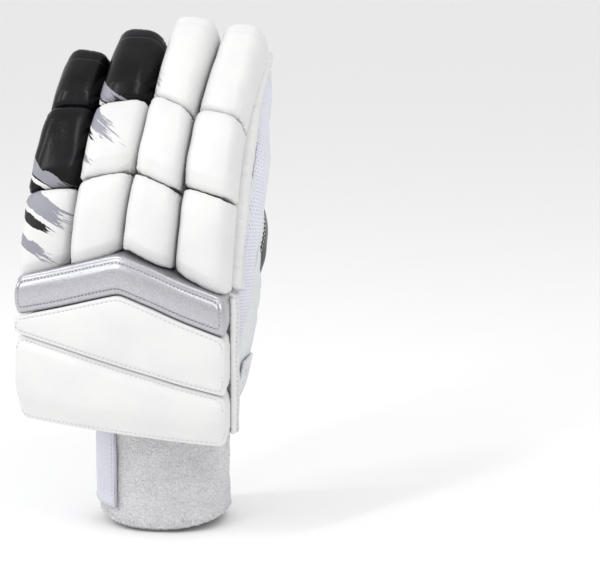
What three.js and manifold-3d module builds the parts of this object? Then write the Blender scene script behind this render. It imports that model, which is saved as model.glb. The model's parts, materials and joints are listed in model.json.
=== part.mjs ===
// Left-hand cricket batting glove, shaped as it is when a hand fills it.
// Millimetres. X runs to the thumb side, Y to the palm, Z to the fingertips.
// The origin is the middle of the wrist opening.
import * as THREE from "three";
import { mergeVertices } from "three/addons/utils/BufferGeometryUtils.js";
import Module from "manifold-3d";

const wasm = await Module();
wasm.setup();

// Wrist band, a towelling tube
const WRIST_WIDTH = 72; // outside, across the hand
const WRIST_DEPTH = 62; // outside, back to palm
const BAND_HEIGHT = 68; // rim to sewn top edge
const BAND_WALL = 3.5;
const BAND_TUCK = 8; // how far the band runs up inside the hand
const RIM_DIP = 5; // how far the rim hangs lower at the back and the palm

// Strap that closes the band
const STRAP_HEIGHT = 44;
const STRAP_THICKNESS = 2.2;
const STRAP_LIFT = 11.5; // how far its free end stands off the band

// Hand
const HAND_WIDTH = 116; // across the four fingers at the knuckles
const HAND_SHIFT = -6.5; // middle of the hand from the middle of the wrist
const PALM_LENGTH = 76.5; // top of the band to the finger roots
const PALM_WALL = 2;
const WEB_RISE = 17; // how much higher the palm side reaches than the back at the finger roots

// Fingers
const FINGER_LENGTH = 138.5; // middle finger along its middle line
const SLEEVE_WIDTH = 22;
const SLEEVE_DEPTH = 27;
const SLEEVE_WALL = 1.6;
const STRIP_THICKNESS = 10; // foam strip between sleeve and rolls
const STRIP_SIDE = 0.44; // share of the index sleeve's wider side that its strip reaches out
const ROLL_HEIGHT = 24.5;
const ROLL_RISE = 5; // how far the rolls' undersides stand out from the back of the hand
const ROLL_GAP = 1.2; // groove between one roll and the next along a finger

// Back of the hand
const ARCH_RISE = 5.5; // how far the back of the hand falls over half the cuff's width
const ARCH_SHIFT = 17; // how far its highest line lies to the thumb side of its middle
const PANEL_THICKNESS = 7;
const FLANGE_DEPTH = 3; // how far the panel reaches round the sides of the hand
const SIDE_REACH = 3; // how far it stands out past the cuff's thumb end
const CUFF_REVEAL = 5.5; // how far the hand stands out past each end of the cuff
const CUFF_WIDTH = HAND_WIDTH - 2 * CUFF_REVEAL;
const CUFF_THICKNESS = 28;
const CUFF_HEIGHT = 79; // lower edge to the bar's top edge, at the ends
const CUFF_LEAN = 10; // how much lower its thumb end lies than its other end
const BAR_HEIGHT = 21;
const CHEVRON_RISE = 19.5; // peak of the bar above its ends
const CUFF_GAP = 1.2;
const CUFF_ROUNDING = 7;

// Thumb
const THUMB_LENGTH = 118; // along its middle line, from inside the palm
const THUMB_WIDTH = 30;
const THUMB_DEPTH = 38;
const THUMB_WALL = 1.8;
const THUMB_PAD_HEIGHT = 24;
const WELT_THICKNESS = 2.4;
const TAB_LENGTH = 46;
const TAB_WIDTH = 20;
const TAB_THICKNESS = 2.4;

// Side gusset and its vent
const GUSSET_HEIGHT = 27;
const GUSSET_THICKNESS = 1.4;
const VENT_HEIGHT = 13;
const VENT_HOLE = 2; // width of a hole
const VENT_HEM = 3; // width of cloth round a patch's holes, and of the leather's edge behind it
const KNIT_WIDTH = 22;
const KNIT_SLIM = 0.5; // share of its width that it keeps beside the hand
const KNIT_EDGE = 1.5; // from the foam strip's underside to the knit
const KNIT_START = 5; // its lower end over the hand's lower edge
const KNIT_THICKNESS = 1.7;
const BINDING_WIDTH = 2.6;

const HAND_SQUARENESS = 2.3; // of the outline round the wrist and the hand
const SLEEVE_SQUARENESS = 3.2;
const GAP = 0.35; // between pieces that are sewn face to face

const PALM_BASE = BAND_HEIGHT - BAND_TUCK;
const PALM_DEPTH = WRIST_DEPTH + 2 * (PALM_WALL + GAP); // back to palm at the wrist end
const WRIST_SHARE = (WRIST_WIDTH + 2 * (PALM_WALL + GAP)) / HAND_WIDTH;
const PALM_TOP = PALM_BASE + PALM_LENGTH;
const BACK_Y = -PALM_DEPTH / 2 - GAP; // inner face of the back panel on the hand's middle line
const SPINE_TO_BACK = SLEEVE_DEPTH / 2 + STRIP_THICKNESS + 3 * GAP; // where the rolls sit on a finger

// Bend of each finger from the vertical, in degrees, at shares of its length
const FLEXION = [
  { at: 0, angle: 3 },
  { at: 0.15, angle: 7 },
  { at: 0.3, angle: 19 },
  { at: 0.5, angle: 36 },
  { at: 0.72, angle: 46 },
  { at: 0.88, angle: 57 },
  { at: 1, angle: 70 },
];

// Where one finger ends and the next begins, as shares of HAND_WIDTH from the hand's middle.
// at is the share of the way from the finger roots to FINGER_REACH above them.
const EDGES = [
  { at: 0, outer: -0.54, little: -0.29, ring: -0.047, middle: 0.21, index: 0.468 },
  { at: 0.3, outer: -0.515, little: -0.262, ring: -0.01, middle: 0.238, index: 0.487 },
  { at: 0.6, outer: -0.465, little: -0.225, ring: 0.037, middle: 0.262, index: 0.505 },
  { at: 0.88, outer: -0.42, little: -0.196, ring: 0.066, middle: 0.31, index: 0.545 },
  { at: 1, outer: -0.41, little: -0.187, ring: 0.072, middle: 0.32, index: 0.555 },
];
const FINGER_REACH = 135;

// Fingers: length as a share of FINGER_LENGTH. first, second and end are where a finger's rolls meet and end,
// as shares of the length. SLANTS is how far a roll's end climbs for each millimetre across it, and SIDES
// how much wider a sleeve is on the thumb side, as a share of SLEEVE_WIDTH.
const FINGERS = [
  { name: "index", from: "middle", to: "index", length: 0.96, first: 0.275, second: 0.505, end: 0.885 },
  { name: "middle", from: "ring", to: "middle", length: 1, first: 0.3, second: 0.525, end: 0.885 },
  { name: "ring", from: "little", to: "ring", length: 0.935, first: 0.325, second: 0.555, end: 0.88 },
  { name: "little", from: "outer", to: "little", length: 0.835, first: 0.3, second: 0.58, end: 0.865 },
];
const SLANTS = { index: -0.14, middle: -0.2, ring: 0.22, little: 0.16 };
const SIDES = { index: 0.47, middle: 0, ring: 0, little: 0 };
// How the wider side comes and goes along the sleeve
const SIDE_SHARES = [
  { at: 0, share: 0.78 },
  { at: 0.18, share: 1 },
  { at: 0.5, share: 1 },
  { at: 0.68, share: 0.5 },
  { at: 1, share: 0 },
];

// Hand from wrist to finger roots. at is a share of PALM_LENGTH, width of HAND_WIDTH, palm of PALM_DEPTH
// (how far the palm side lies from the back), x of HAND_SHIFT and lift of WEB_RISE.
const PALM_SECTIONS = [
  { at: 0, width: WRIST_SHARE, palm: 1, x: 0, squareness: HAND_SQUARENESS, lift: 0 },
  { at: 0.06, width: WRIST_SHARE + 0.03, palm: 1.01, x: -0.15, squareness: HAND_SQUARENESS, lift: 0 },
  { at: 0.16, width: 0.73, palm: 1.01, x: -0.3, squareness: 2.3, lift: 0 },
  { at: 0.32, width: 0.8, palm: 1.02, x: -0.1, squareness: 2.3, lift: 0 },
  { at: 0.55, width: 0.89, palm: 1.04, x: 0.1, squareness: 2.4, lift: 0 },
  { at: 0.76, width: 0.95, palm: 1.03, x: 0.25, squareness: 2.7, lift: 0.15 },
  { at: 0.92, width: 0.973, palm: 0.95, x: 0.44, squareness: 3, lift: 0.6 },
  { at: 1, width: 0.98, palm: 0.84, x: 0.44, squareness: 3, lift: 1 },
];

// Thumb's middle line. x, y and z are shares of THUMB_LENGTH from the wrist's axis and the palm's base,
// width and depth are shares of THUMB_WIDTH and THUMB_DEPTH.
const THUMB_SECTIONS = [
  { x: 0.04, y: 0.01, z: 0.08, width: 0.95, depth: 0.95 },
  { x: 0.07, y: 0.17, z: 0.235, width: 1, depth: 1 },
  { x: 0.13, y: 0.39, z: 0.475, width: 1.02, depth: 0.98 },
  { x: 0.17, y: 0.55, z: 0.67, width: 1, depth: 0.92 },
  { x: 0.19, y: 0.66, z: 0.825, width: 0.96, depth: 0.86 },
  { x: 0.16, y: 0.745, z: 0.95, width: 0.88, depth: 0.8 },
];
const THUMB_BACK = new THREE.Vector3(0.1, 0.81, -0.57); // the way the thumb's pads face

// How a padded roll rises from its end: share of its half length from the end, share of its height and width
const PILLOW_END = [
  { at: 0, height: 0.5, width: 0.86 },
  { at: 0.05, height: 0.76, width: 0.95 },
  { at: 0.16, height: 0.92, width: 1 },
  { at: 0.45, height: 1, width: 1 },
  { at: 1, height: 1, width: 1 },
];
// The same for a roll's end at a fingertip, which is a round nose
const NOSE_END = [
  { at: 0, height: 0.44, width: 0.62 },
  { at: 0.08, height: 0.72, width: 0.86 },
  { at: 0.22, height: 0.9, width: 0.97 },
  { at: 0.5, height: 1, width: 1 },
  { at: 1, height: 1, width: 1 },
];

const { lerp, clamp, degToRad, smoothstep } = THREE.MathUtils;

// A column of a table at a place between two of its rows
function along(rows, at, column) {
  const next = clamp(rows.findIndex((row) => row.at >= at), 1, rows.length - 1);
  const low = rows[at > rows.at(-1).at ? rows.length - 2 : next - 1];
  const high = rows[at > rows.at(-1).at ? rows.length - 1 : next];
  return lerp(low[column], high[column], clamp((at - low.at) / (high.at - low.at), 0, 1));
}

// The same, but bending smoothly from row to row
function smoothAlong(rows, at, column) {
  const last = rows.length - 1;
  const i = clamp(rows.findIndex((row) => row.at >= at) - 1, 0, last - 1);
  const low = at > rows[last].at ? last - 1 : i;
  const slope = (j) => {
    const [a, b] = [rows[Math.max(j - 1, 0)], rows[Math.min(j + 1, last)]];
    return (b[column] - a[column]) / (b.at - a.at);
  };
  const [a, b] = [rows[low], rows[low + 1]];
  const width = b.at - a.at;
  if (at <= a.at || at >= b.at) {
    const end = at <= a.at ? low : low + 1;
    return rows[end][column] + slope(end) * (at - rows[end].at);
  }
  const t = (at - a.at) / width;
  return (
    (2 * t ** 3 - 3 * t ** 2 + 1) * a[column] + (t ** 3 - 2 * t ** 2 + t) * width * slope(low) +
    (3 * t ** 2 - 2 * t ** 3) * b[column] + (t ** 3 - t ** 2) * width * slope(low + 1)
  );
}

// Points of a rounded outline, as offsets across and up
function roundedOutline(count, halfWidth, halfHeight, squareness) {
  return Array.from({ length: count }, (_, i) => {
    const angle = (2 * Math.PI * i) / count;
    const bend = (v) => Math.sign(v) * Math.abs(v) ** (2 / squareness);
    return [halfWidth * bend(Math.cos(angle)), halfHeight * bend(Math.sin(angle))];
  });
}

// A closed surface through rings of points. It closes at two poles, or its last ring joins its first.
function skin(rings, startPole, endPole) {
  const count = rings[0].length;
  const points = rings.flat();
  const faces = [];
  const bands = startPole ? rings.length - 1 : rings.length;
  for (let i = 0; i < bands; i++) {
    for (let j = 0; j < count; j++) {
      const next = (j + 1) % count;
      const upper = ((i + 1) % rings.length) * count;
      faces.push(i * count + j, i * count + next, upper + next, i * count + j, upper + next, upper + j);
    }
  }
  if (startPole) {
    const last = (rings.length - 1) * count;
    points.push(startPole, endPole);
    for (let j = 0; j < count; j++) {
      const next = (j + 1) % count;
      faces.push(points.length - 2, next, j, points.length - 1, last + j, last + next);
    }
  }
  const geometry = new THREE.BufferGeometry().setFromPoints(points);
  geometry.setIndex(faces);
  return facingOut(geometry);
}

function facingOut(geometry) {
  const position = geometry.getAttribute("position");
  const corner = (i) => new THREE.Vector3().fromBufferAttribute(position, geometry.index.getX(i));
  let volume = 0;
  for (let i = 0; i < geometry.index.count; i += 3) {
    volume += corner(i).dot(corner(i + 1).cross(corner(i + 2)));
  }
  if (volume < 0) geometry.index.array.reverse();
  return geometry;
}

const middleOf = (ring) =>
  ring.reduce((sum, p) => sum.add(p), new THREE.Vector3()).divideScalar(ring.length);

const solidThrough = (rings) => skin(rings, middleOf(rings[0]), middleOf(rings.at(-1)));

function toSolid(geometry) {
  const bare = geometry.clone();
  bare.deleteAttribute("normal");
  bare.deleteAttribute("uv");
  const merged = mergeVertices(bare);
  return new wasm.Manifold(
    new wasm.Mesh({
      numProp: 3,
      vertProperties: new Float32Array(merged.attributes.position.array),
      triVerts: new Uint32Array(merged.index.array),
    }),
  );
}

function fromSolid(solid) {
  const mesh = solid.getMesh();
  const geometry = new THREE.BufferGeometry();
  geometry.setAttribute("position", new THREE.BufferAttribute(mesh.vertProperties, 3));
  geometry.setIndex(new THREE.BufferAttribute(mesh.triVerts, 1));
  return geometry;
}

// The largest body that is left when the cutters are taken from a geometry
function cut(geometry, ...cutters) {
  const left = cutters.reduce((solid, cutter) => solid.subtract(toSolid(cutter)), toSolid(geometry));
  const bodies = left.decompose().sort((a, b) => b.volume() - a.volume());
  return fromSolid(bodies[0]);
}

// How far the back of the hand falls away towards its sides, and how steeply
const archTop = HAND_SHIFT + ARCH_SHIFT;
const archAt = (x) => ARCH_RISE * ((x - archTop) / (CUFF_WIDTH / 2)) ** 2;
const archSlope = (x) => (2 * ARCH_RISE * (x - archTop)) / (CUFF_WIDTH / 2) ** 2;

// Where an edge between fingers runs at a height
const edgeAt = (name, z) =>
  HAND_SHIFT + HAND_WIDTH * smoothAlong(EDGES, clamp((z - PALM_TOP) / FINGER_REACH, -0.2, 1), name);

// A finger's middle line: a place on it, and the directions along it, across it and to its back
function fingerSpine(finger) {
  const length = finger.length * FINGER_LENGTH;
  const steps = 80;
  const middleAt = (z) => (edgeAt(finger.from, z) + edgeAt(finger.to, z)) / 2;
  const flexion = (u) => degToRad(smoothAlong(FLEXION, clamp(u, 0, 1), "angle"));
  const root = middleAt(PALM_TOP);
  const path = [new THREE.Vector3(root, BACK_Y - ROLL_RISE + SPINE_TO_BACK + archAt(root), PALM_TOP)];
  for (let i = 0; i < steps; i++) {
    const last = path.at(-1);
    const theta = flexion((i + 0.5) / steps);
    const drift = middleAt(last.z + 1) - middleAt(last.z);
    const step = new THREE.Vector3(drift * Math.cos(theta), Math.sin(theta), Math.cos(theta));
    path.push(last.clone().addScaledVector(step.normalize(), length / steps));
  }
  const tilt = Math.atan(archSlope(root)) / 2;
  const frameAt = (u) => {
    const place = clamp(u, 0, 1) * steps;
    const i = Math.min(Math.floor(place), steps - 1);
    const theta = flexion(u);
    const forward = new THREE.Vector3().subVectors(path[Math.min(i + 2, steps)], path[Math.max(i - 1, 0)]);
    forward.normalize();
    const back = new THREE.Vector3(0, -Math.cos(theta), Math.sin(theta));
    back.applyAxisAngle(forward, -tilt * (1 - 0.6 * clamp(u, 0, 1)));
    const across = new THREE.Vector3().crossVectors(forward, back);
    const at = path[i].clone().lerp(path[i + 1], place - i);
    at.addScaledVector(forward, (u - clamp(u, 0, 1)) * length);
    return { at, forward, back, across };
  };
  return { length, frameAt, finger };
}

function thumbSpine() {
  const curve = new THREE.CatmullRomCurve3(
    THUMB_SECTIONS.map(
      (row) =>
        new THREE.Vector3(row.x * THUMB_LENGTH, row.y * THUMB_LENGTH, PALM_BASE + row.z * THUMB_LENGTH),
    ),
  );
  const rows = THUMB_SECTIONS.map((row, i) => ({ ...row, at: i / (THUMB_SECTIONS.length - 1) }));
  const frameAt = (u) => {
    const forward = curve.getTangent(clamp(u, 0, 1));
    const back = THUMB_BACK.clone().addScaledVector(forward, -THUMB_BACK.dot(forward)).normalize();
    return {
      at: curve.getPoint(clamp(u, 0, 1)).addScaledVector(forward, (u - clamp(u, 0, 1)) * THUMB_LENGTH),
      forward,
      back,
      across: new THREE.Vector3().crossVectors(forward, back),
    };
  };
  return {
    length: curve.getLength(),
    frameAt,
    halfWidth: (u) => (THUMB_WIDTH / 2) * along(rows, u, "width"),
    halfDepth: (u) => (THUMB_DEPTH / 2) * along(rows, u, "depth"),
  };
}

const placeOn = (spine, u, across, up) => {
  const frame = spine.frameAt(u);
  return frame.at.addScaledVector(frame.across, across).addScaledVector(frame.back, up);
};

// A tube round a spine, closed and rounded at its tip, with its half sizes and its shift to the side at u
function tipTube(spine, { from, to, halfWidth, halfDepth, shift, grow, nose, count, rings, squareness }) {
  const reach = to + grow / spine.length;
  const noseLength = nose / spine.length;
  return Array.from({ length: rings + 4 }, (_, i) => {
    const turn = i <= rings ? 0 : ((i - rings) / 4.4) * (Math.PI / 2);
    const u = i <= rings
      ? lerp(from, reach - noseLength, i / rings)
      : reach - noseLength + noseLength * Math.sin(turn);
    const shrink = Math.cos(turn);
    return roundedOutline(
      count, (halfWidth(u) + grow) * shrink, (halfDepth(u) + grow) * shrink, squareness,
    ).map(([across, up]) => placeOn(spine, u, shift(u) + across, up));
  });
}

function cupFrom(outer, inner, outerPole, innerPole) {
  return skin([...outer.toReversed(), ...inner], outerPole, innerPole);
}

// How much wider a finger's sleeve is on its thumb side
const sideOf = (spine, u) =>
  SLEEVE_WIDTH * SIDES[spine.finger.name] * along(SIDE_SHARES, clamp(u, 0, 1), "share");

const sleeveRings = (spine, grow) =>
  tipTube(spine, {
    from: -0.05, to: 1, nose: 9, count: 14, rings: 7, squareness: SLEEVE_SQUARENESS, grow,
    shift: (u) => sideOf(spine, u) / 2,
    halfWidth: (u) => (SLEEVE_WIDTH + sideOf(spine, u)) / 2,
    halfDepth: () => SLEEVE_DEPTH / 2,
  });

const sleevePole = (spine, grow) => placeOn(spine, 1 + grow / spine.length, sideOf(spine, 1) / 2, 0);

// A finger's sleeve, a cup with an outer and an inner set of rings
const sleeve = (spine) =>
  cupFrom(
    sleeveRings(spine, 0), sleeveRings(spine, -SLEEVE_WALL),
    sleevePole(spine, 0), sleevePole(spine, -SLEEVE_WALL),
  );

// The room that a sleeve takes, with its clearance
function sleeveRoom(spine) {
  const rings = sleeveRings(spine, GAP);
  return skin(rings, middleOf(rings[0]), sleevePole(spine, GAP));
}

// The finger's hollow where it runs through the hand's wall
const bore = (spine) =>
  solidThrough(
    [-0.08, 0, 0.06, 0.12, 0.18].map((u) => {
      const side = sideOf(spine, u) * (u < 0 ? 0.4 : 1);
      const halfWidth = ((SLEEVE_WIDTH + side) / 2 - SLEEVE_WALL) * (u < 0 ? 0.85 : 1);
      return roundedOutline(14, halfWidth, SLEEVE_DEPTH / 2 - SLEEVE_WALL, SLEEVE_SQUARENESS).map(
        ([across, up]) => placeOn(spine, u, side / 2 + across, up),
      );
    }),
  );

// A place on a finger's back, where across runs from -1 to 1 between the finger's edges less a margin
function betweenEdges(spine, u, across, up, margin) {
  const { from, to } = spine.finger;
  const nominal = HAND_WIDTH / 8;
  const point = placeOn(spine, u, across * nominal, up);
  const [low, high] = [edgeAt(from, point.z) + margin, edgeAt(to, point.z) - margin];
  point.x = lerp(low, high, (across + 1) / 2);
  return point;
}

// Where on a finger's back a height is reached
function placeAtHeight(spine, z, across, up) {
  let [low, high] = [-0.2, 0.6];
  for (let i = 0; i < 24; i++) {
    const middle = (low + high) / 2;
    if (placeOn(spine, middle, (across * HAND_WIDTH) / 8, up).z < z) low = middle;
    else high = middle;
  }
  return low;
}

// A crowned pad: flat below, round above, and drawn in at its ends. place(share, across, up) puts its points.
function pad({ place, height, base, startEnd, stopEnd, squareness }) {
  const shares = [0, 0.025, 0.08, 0.22, 0.5, 0.78, 0.92, 0.975, 1];
  const rings = shares.map((share) => {
    const end = share < 0.5 ? startEnd : stopEnd;
    const inward = share < 0.5 ? share * 2 : (1 - share) * 2;
    const rise = height * along(end, inward, "height");
    const half = along(end, inward, "width");
    const crown = Array.from({ length: 9 }, (_, i) => {
      const angle = (Math.PI * i) / 8;
      const bend = (v) => Math.sign(v) * Math.abs(v) ** (2 / squareness);
      return [half * bend(Math.cos(angle)), base + rise * (0.12 + 0.88 * bend(Math.sin(angle)))];
    });
    const outline = [...crown, [-half * 0.94, base], [0, base], [half * 0.94, base]];
    return outline.map(([across, up]) => place(share, across, up));
  });
  return solidThrough(rings);
}

// The lower end of a finger's rolls follows the bar's top edge
function rootAt(spine, across, up, gap) {
  const { from, to } = spine.finger;
  const x = lerp(edgeAt(from, PALM_TOP), edgeAt(to, PALM_TOP), (across + 1) / 2);
  return placeAtHeight(spine, barTop(((x - HAND_SHIFT) * 2) / CUFF_WIDTH) + gap, across, up);
}

// The foam strip under a finger's rolls
function strip(spine, finger) {
  const base = SLEEVE_DEPTH / 2 + 2 * GAP;
  const rings = Array.from({ length: 8 }, (_, i) => {
    const narrow = i === 7 ? 0.7 : 1;
    return roundedOutline(12, narrow, STRIP_THICKNESS / 2, 6).map(([across, up]) => {
      const from = rootAt(spine, across, base, CUFF_GAP);
      const u = lerp(from, finger.end + 0.01, i / 7);
      const place = betweenEdges(spine, u, across, base + STRIP_THICKNESS / 2 + up, ROLL_GAP / 2);
      place.x += STRIP_SIDE * sideOf(spine, u) * clamp(across, 0, 1);
      return place;
    });
  });
  return solidThrough(rings);
}

// The three rolls of a finger, from the knuckle to the tip
function rolls(spine, finger) {
  const half = ROLL_GAP / 2 / spine.length;
  const slantOf = (share, across) => (share * SLANTS[finger.name] * across * (HAND_WIDTH / 8)) / spine.length;
  const spans = [
    ["knuckle", null, finger.first - half, PILLOW_END, 1, 1],
    ["middle", finger.first + half, finger.second - half, PILLOW_END, 1, 1],
    ["tip", finger.second + half, finger.end, NOSE_END, 1, 0],
  ];
  return spans.map(([part, from, to, stopEnd, slantStart, slantStop]) => [
    `roll_${finger.name}_${part}`,
    pad({
      startEnd: PILLOW_END, stopEnd, base: SPINE_TO_BACK, height: ROLL_HEIGHT, squareness: 4,
      place: (share, across, up) => {
        const start =
          from === null ? rootAt(spine, across, up, CUFF_GAP + GAP) : from + slantOf(slantStart, across);
        const stop = to + slantOf(slantStop, across);
        return betweenEdges(spine, lerp(start, stop, share), across, up, ROLL_GAP / 2);
      },
    }),
  ]);
}

const PALM_POINTS = 36;
const palmRows = PALM_SECTIONS.map((row) => ({
  z: PALM_BASE + row.at * PALM_LENGTH,
  x: row.x * HAND_SHIFT,
  halfWidth: (HAND_WIDTH * row.width) / 2,
  halfDepth: (PALM_DEPTH * row.palm) / 2,
  squareness: row.squareness,
  lift: row.lift,
}));

// A ring round the hand, grown or shrunk from its outer face
const palmRing = (row, grow, z = row.z) =>
  roundedOutline(PALM_POINTS, row.halfWidth + grow, row.halfDepth + grow, row.squareness).map(
    ([across, up]) =>
      new THREE.Vector3(
        row.x + across,
        up - PALM_DEPTH / 2 + row.halfDepth,
        z + WEB_RISE * row.lift * smoothstep(up / row.halfDepth, -0.5, 0.7),
      ),
  );

const handBlock = (grow) => {
  const rings = palmRows.map((row) => palmRing(row, grow));
  return solidThrough([
    palmRing(palmRows[0], grow, PALM_BASE - Math.max(grow, 0)),
    ...rings.slice(1, -1),
    palmRing(palmRows.at(-1), grow, PALM_TOP + grow),
  ]);
};

// The hollow of the hand, open at the wrist and closed by a wall at the finger roots
const handHollow = () =>
  solidThrough([
    palmRing(palmRows[0], -PALM_WALL, PALM_BASE - 1),
    ...palmRows.slice(1, -1).map((row) => palmRing(row, -PALM_WALL)),
    palmRing(palmRows.at(-1), -PALM_WALL, PALM_TOP - PALM_WALL),
  ]);

const bandOutline = () => roundedOutline(PALM_POINTS, WRIST_WIDTH / 2, WRIST_DEPTH / 2, HAND_SQUARENESS);

const palmShares = palmRows.map((row, i) => ({ ...row, at: PALM_SECTIONS[i].at }));
const palmValue = (z, column) => along(palmShares, (z - PALM_BASE) / PALM_LENGTH, column);

// The height at which a level of the hand's block lies, up being the place from its back to its palm side
const liftAt = (level, up) => WEB_RISE * palmValue(level, "lift") * smoothstep(up, -0.5, 0.7);

function levelAt(z, up) {
  let level = z;
  for (let i = 0; i < 20; i++) level = clamp(z - liftAt(level, up), PALM_BASE, PALM_TOP);
  return level;
}

// A place on the hand, an angle round it from the thumb side towards the palm, at a height
function onHand(degrees, z, out) {
  const outline = (turn, height) => {
    const angle = degToRad(turn);
    const sine = Math.sign(Math.sin(angle)) * Math.abs(Math.sin(angle)) ** (2 / HAND_SQUARENESS);
    const level = levelAt(height, sine);
    const bend = (v) => Math.sign(v) * Math.abs(v) ** (2 / palmValue(level, "squareness"));
    return new THREE.Vector3(
      palmValue(level, "x") + palmValue(level, "halfWidth") * bend(Math.cos(angle)),
      palmValue(level, "halfDepth") * (1 + bend(Math.sin(angle))) - PALM_DEPTH / 2,
      height,
    );
  };
  const point = outline(degrees, z);
  const side = outline(degrees + 2, z).sub(outline(degrees - 2, z)).normalize();
  const climb = outline(degrees, z + 2).sub(outline(degrees, z - 2)).normalize();
  const away = new THREE.Vector3().crossVectors(side, climb).normalize();
  return { point: point.addScaledVector(away, out), away };
}

// A patch of fabric that lies on the hand, between two angles and two heights
function handPatch({ angles, heights, out, thickness, columns, rows, corner }) {
  const ring = (share) => {
    const angle = lerp(angles[0], angles[1], share);
    const round = 1 - Math.sin(Math.PI * clamp(share, 0.02, 0.98)) ** 0.4;
    const inset = corner * (heights[1] - heights[0]) * round;
    const [low, high] = [heights[0] + inset, heights[1] - inset];
    const face = (lift) =>
      Array.from({ length: rows + 1 }, (_, i) => onHand(angle, lerp(low, high, i / rows), lift).point);
    return [...face(out), ...face(out + thickness).toReversed()];
  };
  return solidThrough(Array.from({ length: columns + 1 }, (_, i) => ring(i / columns)));
}

// Pegs through the hand's side, which cut a vent's holes in offset rows
function ventPegs({ angles, heights, columns, rows, width }) {
  const pegs = [];
  for (let row = 0; row < rows; row++) {
    for (let column = 0; column < columns; column++) {
      const share = (column + (row % 2 ? 0.75 : 0.25)) / columns;
      const height = lerp(heights[0], heights[1], (row + 0.5) / rows);
      const place = onHand(lerp(angles[0], angles[1], share), height, 0);
      const peg = new THREE.CylinderGeometry(width / 2, width / 2, 8 * PALM_WALL, 6);
      peg.applyQuaternion(new THREE.Quaternion().setFromUnitVectors(new THREE.Vector3(0, 1, 0), place.away));
      pegs.push(peg.translate(...place.point.toArray()));
    }
  }
  return pegs;
}

function wristBand() {
  const ring = (share, wall) =>
    bandOutline().map(([x, y]) => {
      const shrink = 1 - (wall ? BAND_WALL / (WRIST_DEPTH / 2) : 0);
      const dip = RIM_DIP * (1 - share) * ((2 * y) / WRIST_DEPTH) ** 2;
      return new THREE.Vector3(x * shrink, y * shrink, share * BAND_HEIGHT - dip);
    });
  const shares = [0, 0.4, 1];
  return skin([
    ...shares.map((share) => ring(share, 0)),
    ...shares.toReversed().map((share) => ring(share, 1)),
  ]);
}

// The strap starts behind the little finger's side, crosses the palm side and stands off at its free end.
const STRAP_SECTIONS = [
  { at: 0, angle: 228, bottom: 0.06, top: 0.82, lift: 0 },
  { at: 0.2, angle: 196, bottom: 0.07, top: 0.82, lift: 0 },
  { at: 0.4, angle: 150, bottom: 0.1, top: 0.82, lift: 0 },
  { at: 0.65, angle: 105, bottom: 0.15, top: 0.79, lift: 0.05 },
  { at: 0.85, angle: 76, bottom: 0.21, top: 0.8, lift: 0.5 },
  { at: 0.96, angle: 63, bottom: 0.29, top: 0.76, lift: 0.93 },
  { at: 1, angle: 59, bottom: 0.4, top: 0.67, lift: 1 },
];

function wristStrap() {
  const reach = STRAP_HEIGHT / 0.62; // the table's shares at the palm are of the strap's own height
  const outlineAt = (degrees, out) => {
    const angle = degToRad(degrees);
    const bend = (v) => Math.sign(v) * Math.abs(v) ** (2 / HAND_SQUARENESS);
    const x = (WRIST_WIDTH / 2) * bend(Math.cos(angle));
    const y = (WRIST_DEPTH / 2) * bend(Math.sin(angle));
    const away = new THREE.Vector2(x, y).normalize().multiplyScalar(out);
    return new THREE.Vector2(x, y).add(away);
  };
  const rings = Array.from({ length: 19 }, (_, i) => {
    const at = i / 18;
    const value = (column) => along(STRAP_SECTIONS, at, column);
    const inner = outlineAt(value("angle"), GAP + 0.5 + STRAP_LIFT * value("lift"));
    const outer = outlineAt(value("angle"), GAP + 0.5 + STRAP_LIFT * value("lift") + STRAP_THICKNESS);
    const [low, high] = [value("bottom") * reach, value("top") * reach];
    return [
      [inner, low], [inner, (low + high) / 2], [inner, high],
      [outer, high], [outer, (low + high) / 2], [outer, low],
    ].map(([place, z]) => new THREE.Vector3(place.x, place.y, z));
  });
  return solidThrough(rings);
}

// Edges of the cuff's pieces, as heights over the wrist opening at a place across the cuff from -1 to 1
const cuffBase = PALM_TOP - CUFF_HEIGHT - 2;
const barTop = (t) => cuffBase + CUFF_HEIGHT + CHEVRON_RISE * (1 - Math.abs(t)) - 0.37 * CUFF_LEAN * t;
const barBottom = (t) => barTop(t) - BAR_HEIGHT;
const splitAt = (t) => cuffBase + 0.48 * CUFF_HEIGHT - 0.19 * CUFF_HEIGHT * t;
const cuffBottom = (t) => cuffBase - (CUFF_LEAN / 2) * t;

// A padded plate that follows the arched back of the hand, between two edges
function backPlate({ low, high, inner, thickness, rounding, ends, stations }) {
  const rings = stations.map((t) => {
    const x = HAND_SHIFT + (t * CUFF_WIDTH) / 2;
    const fromEnd = ((1 - Math.abs(t)) * CUFF_WIDTH) / 2;
    const round = ends * (1 - Math.sin(clamp(fromEnd / ends, 0, 1) * (Math.PI / 2)));
    const drop = Math.min(0.5 * round, 0.22 * (high(t) - low(t)));
    const [bottom, top] = [low(t) + drop, high(t) - drop];
    const deep = thickness - 0.4 * round;
    const edge = Math.min(rounding, (top - bottom) * 0.4, deep * 0.6);
    const away = new THREE.Vector3(Math.min(archSlope(x), 0), -1, 0).normalize();
    const foot = new THREE.Vector3(x, BACK_Y + archAt(x), 0);
    const outline = [[0, bottom], [0, top], [deep - edge, top]];
    for (const turn of [30, 60, 90]) {
      const angle = degToRad(turn);
      outline.push([deep - edge + edge * Math.sin(angle), top - edge + edge * Math.cos(angle)]);
    }
    for (const turn of [0, 30, 60, 90]) {
      const angle = degToRad(turn);
      outline.push([deep - edge + edge * Math.cos(angle), bottom + edge - edge * Math.sin(angle)]);
    }
    return outline.map(([out, z]) => foot.clone().addScaledVector(away, inner + out).setZ(z));
  });
  return solidThrough(rings);
}

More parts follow.
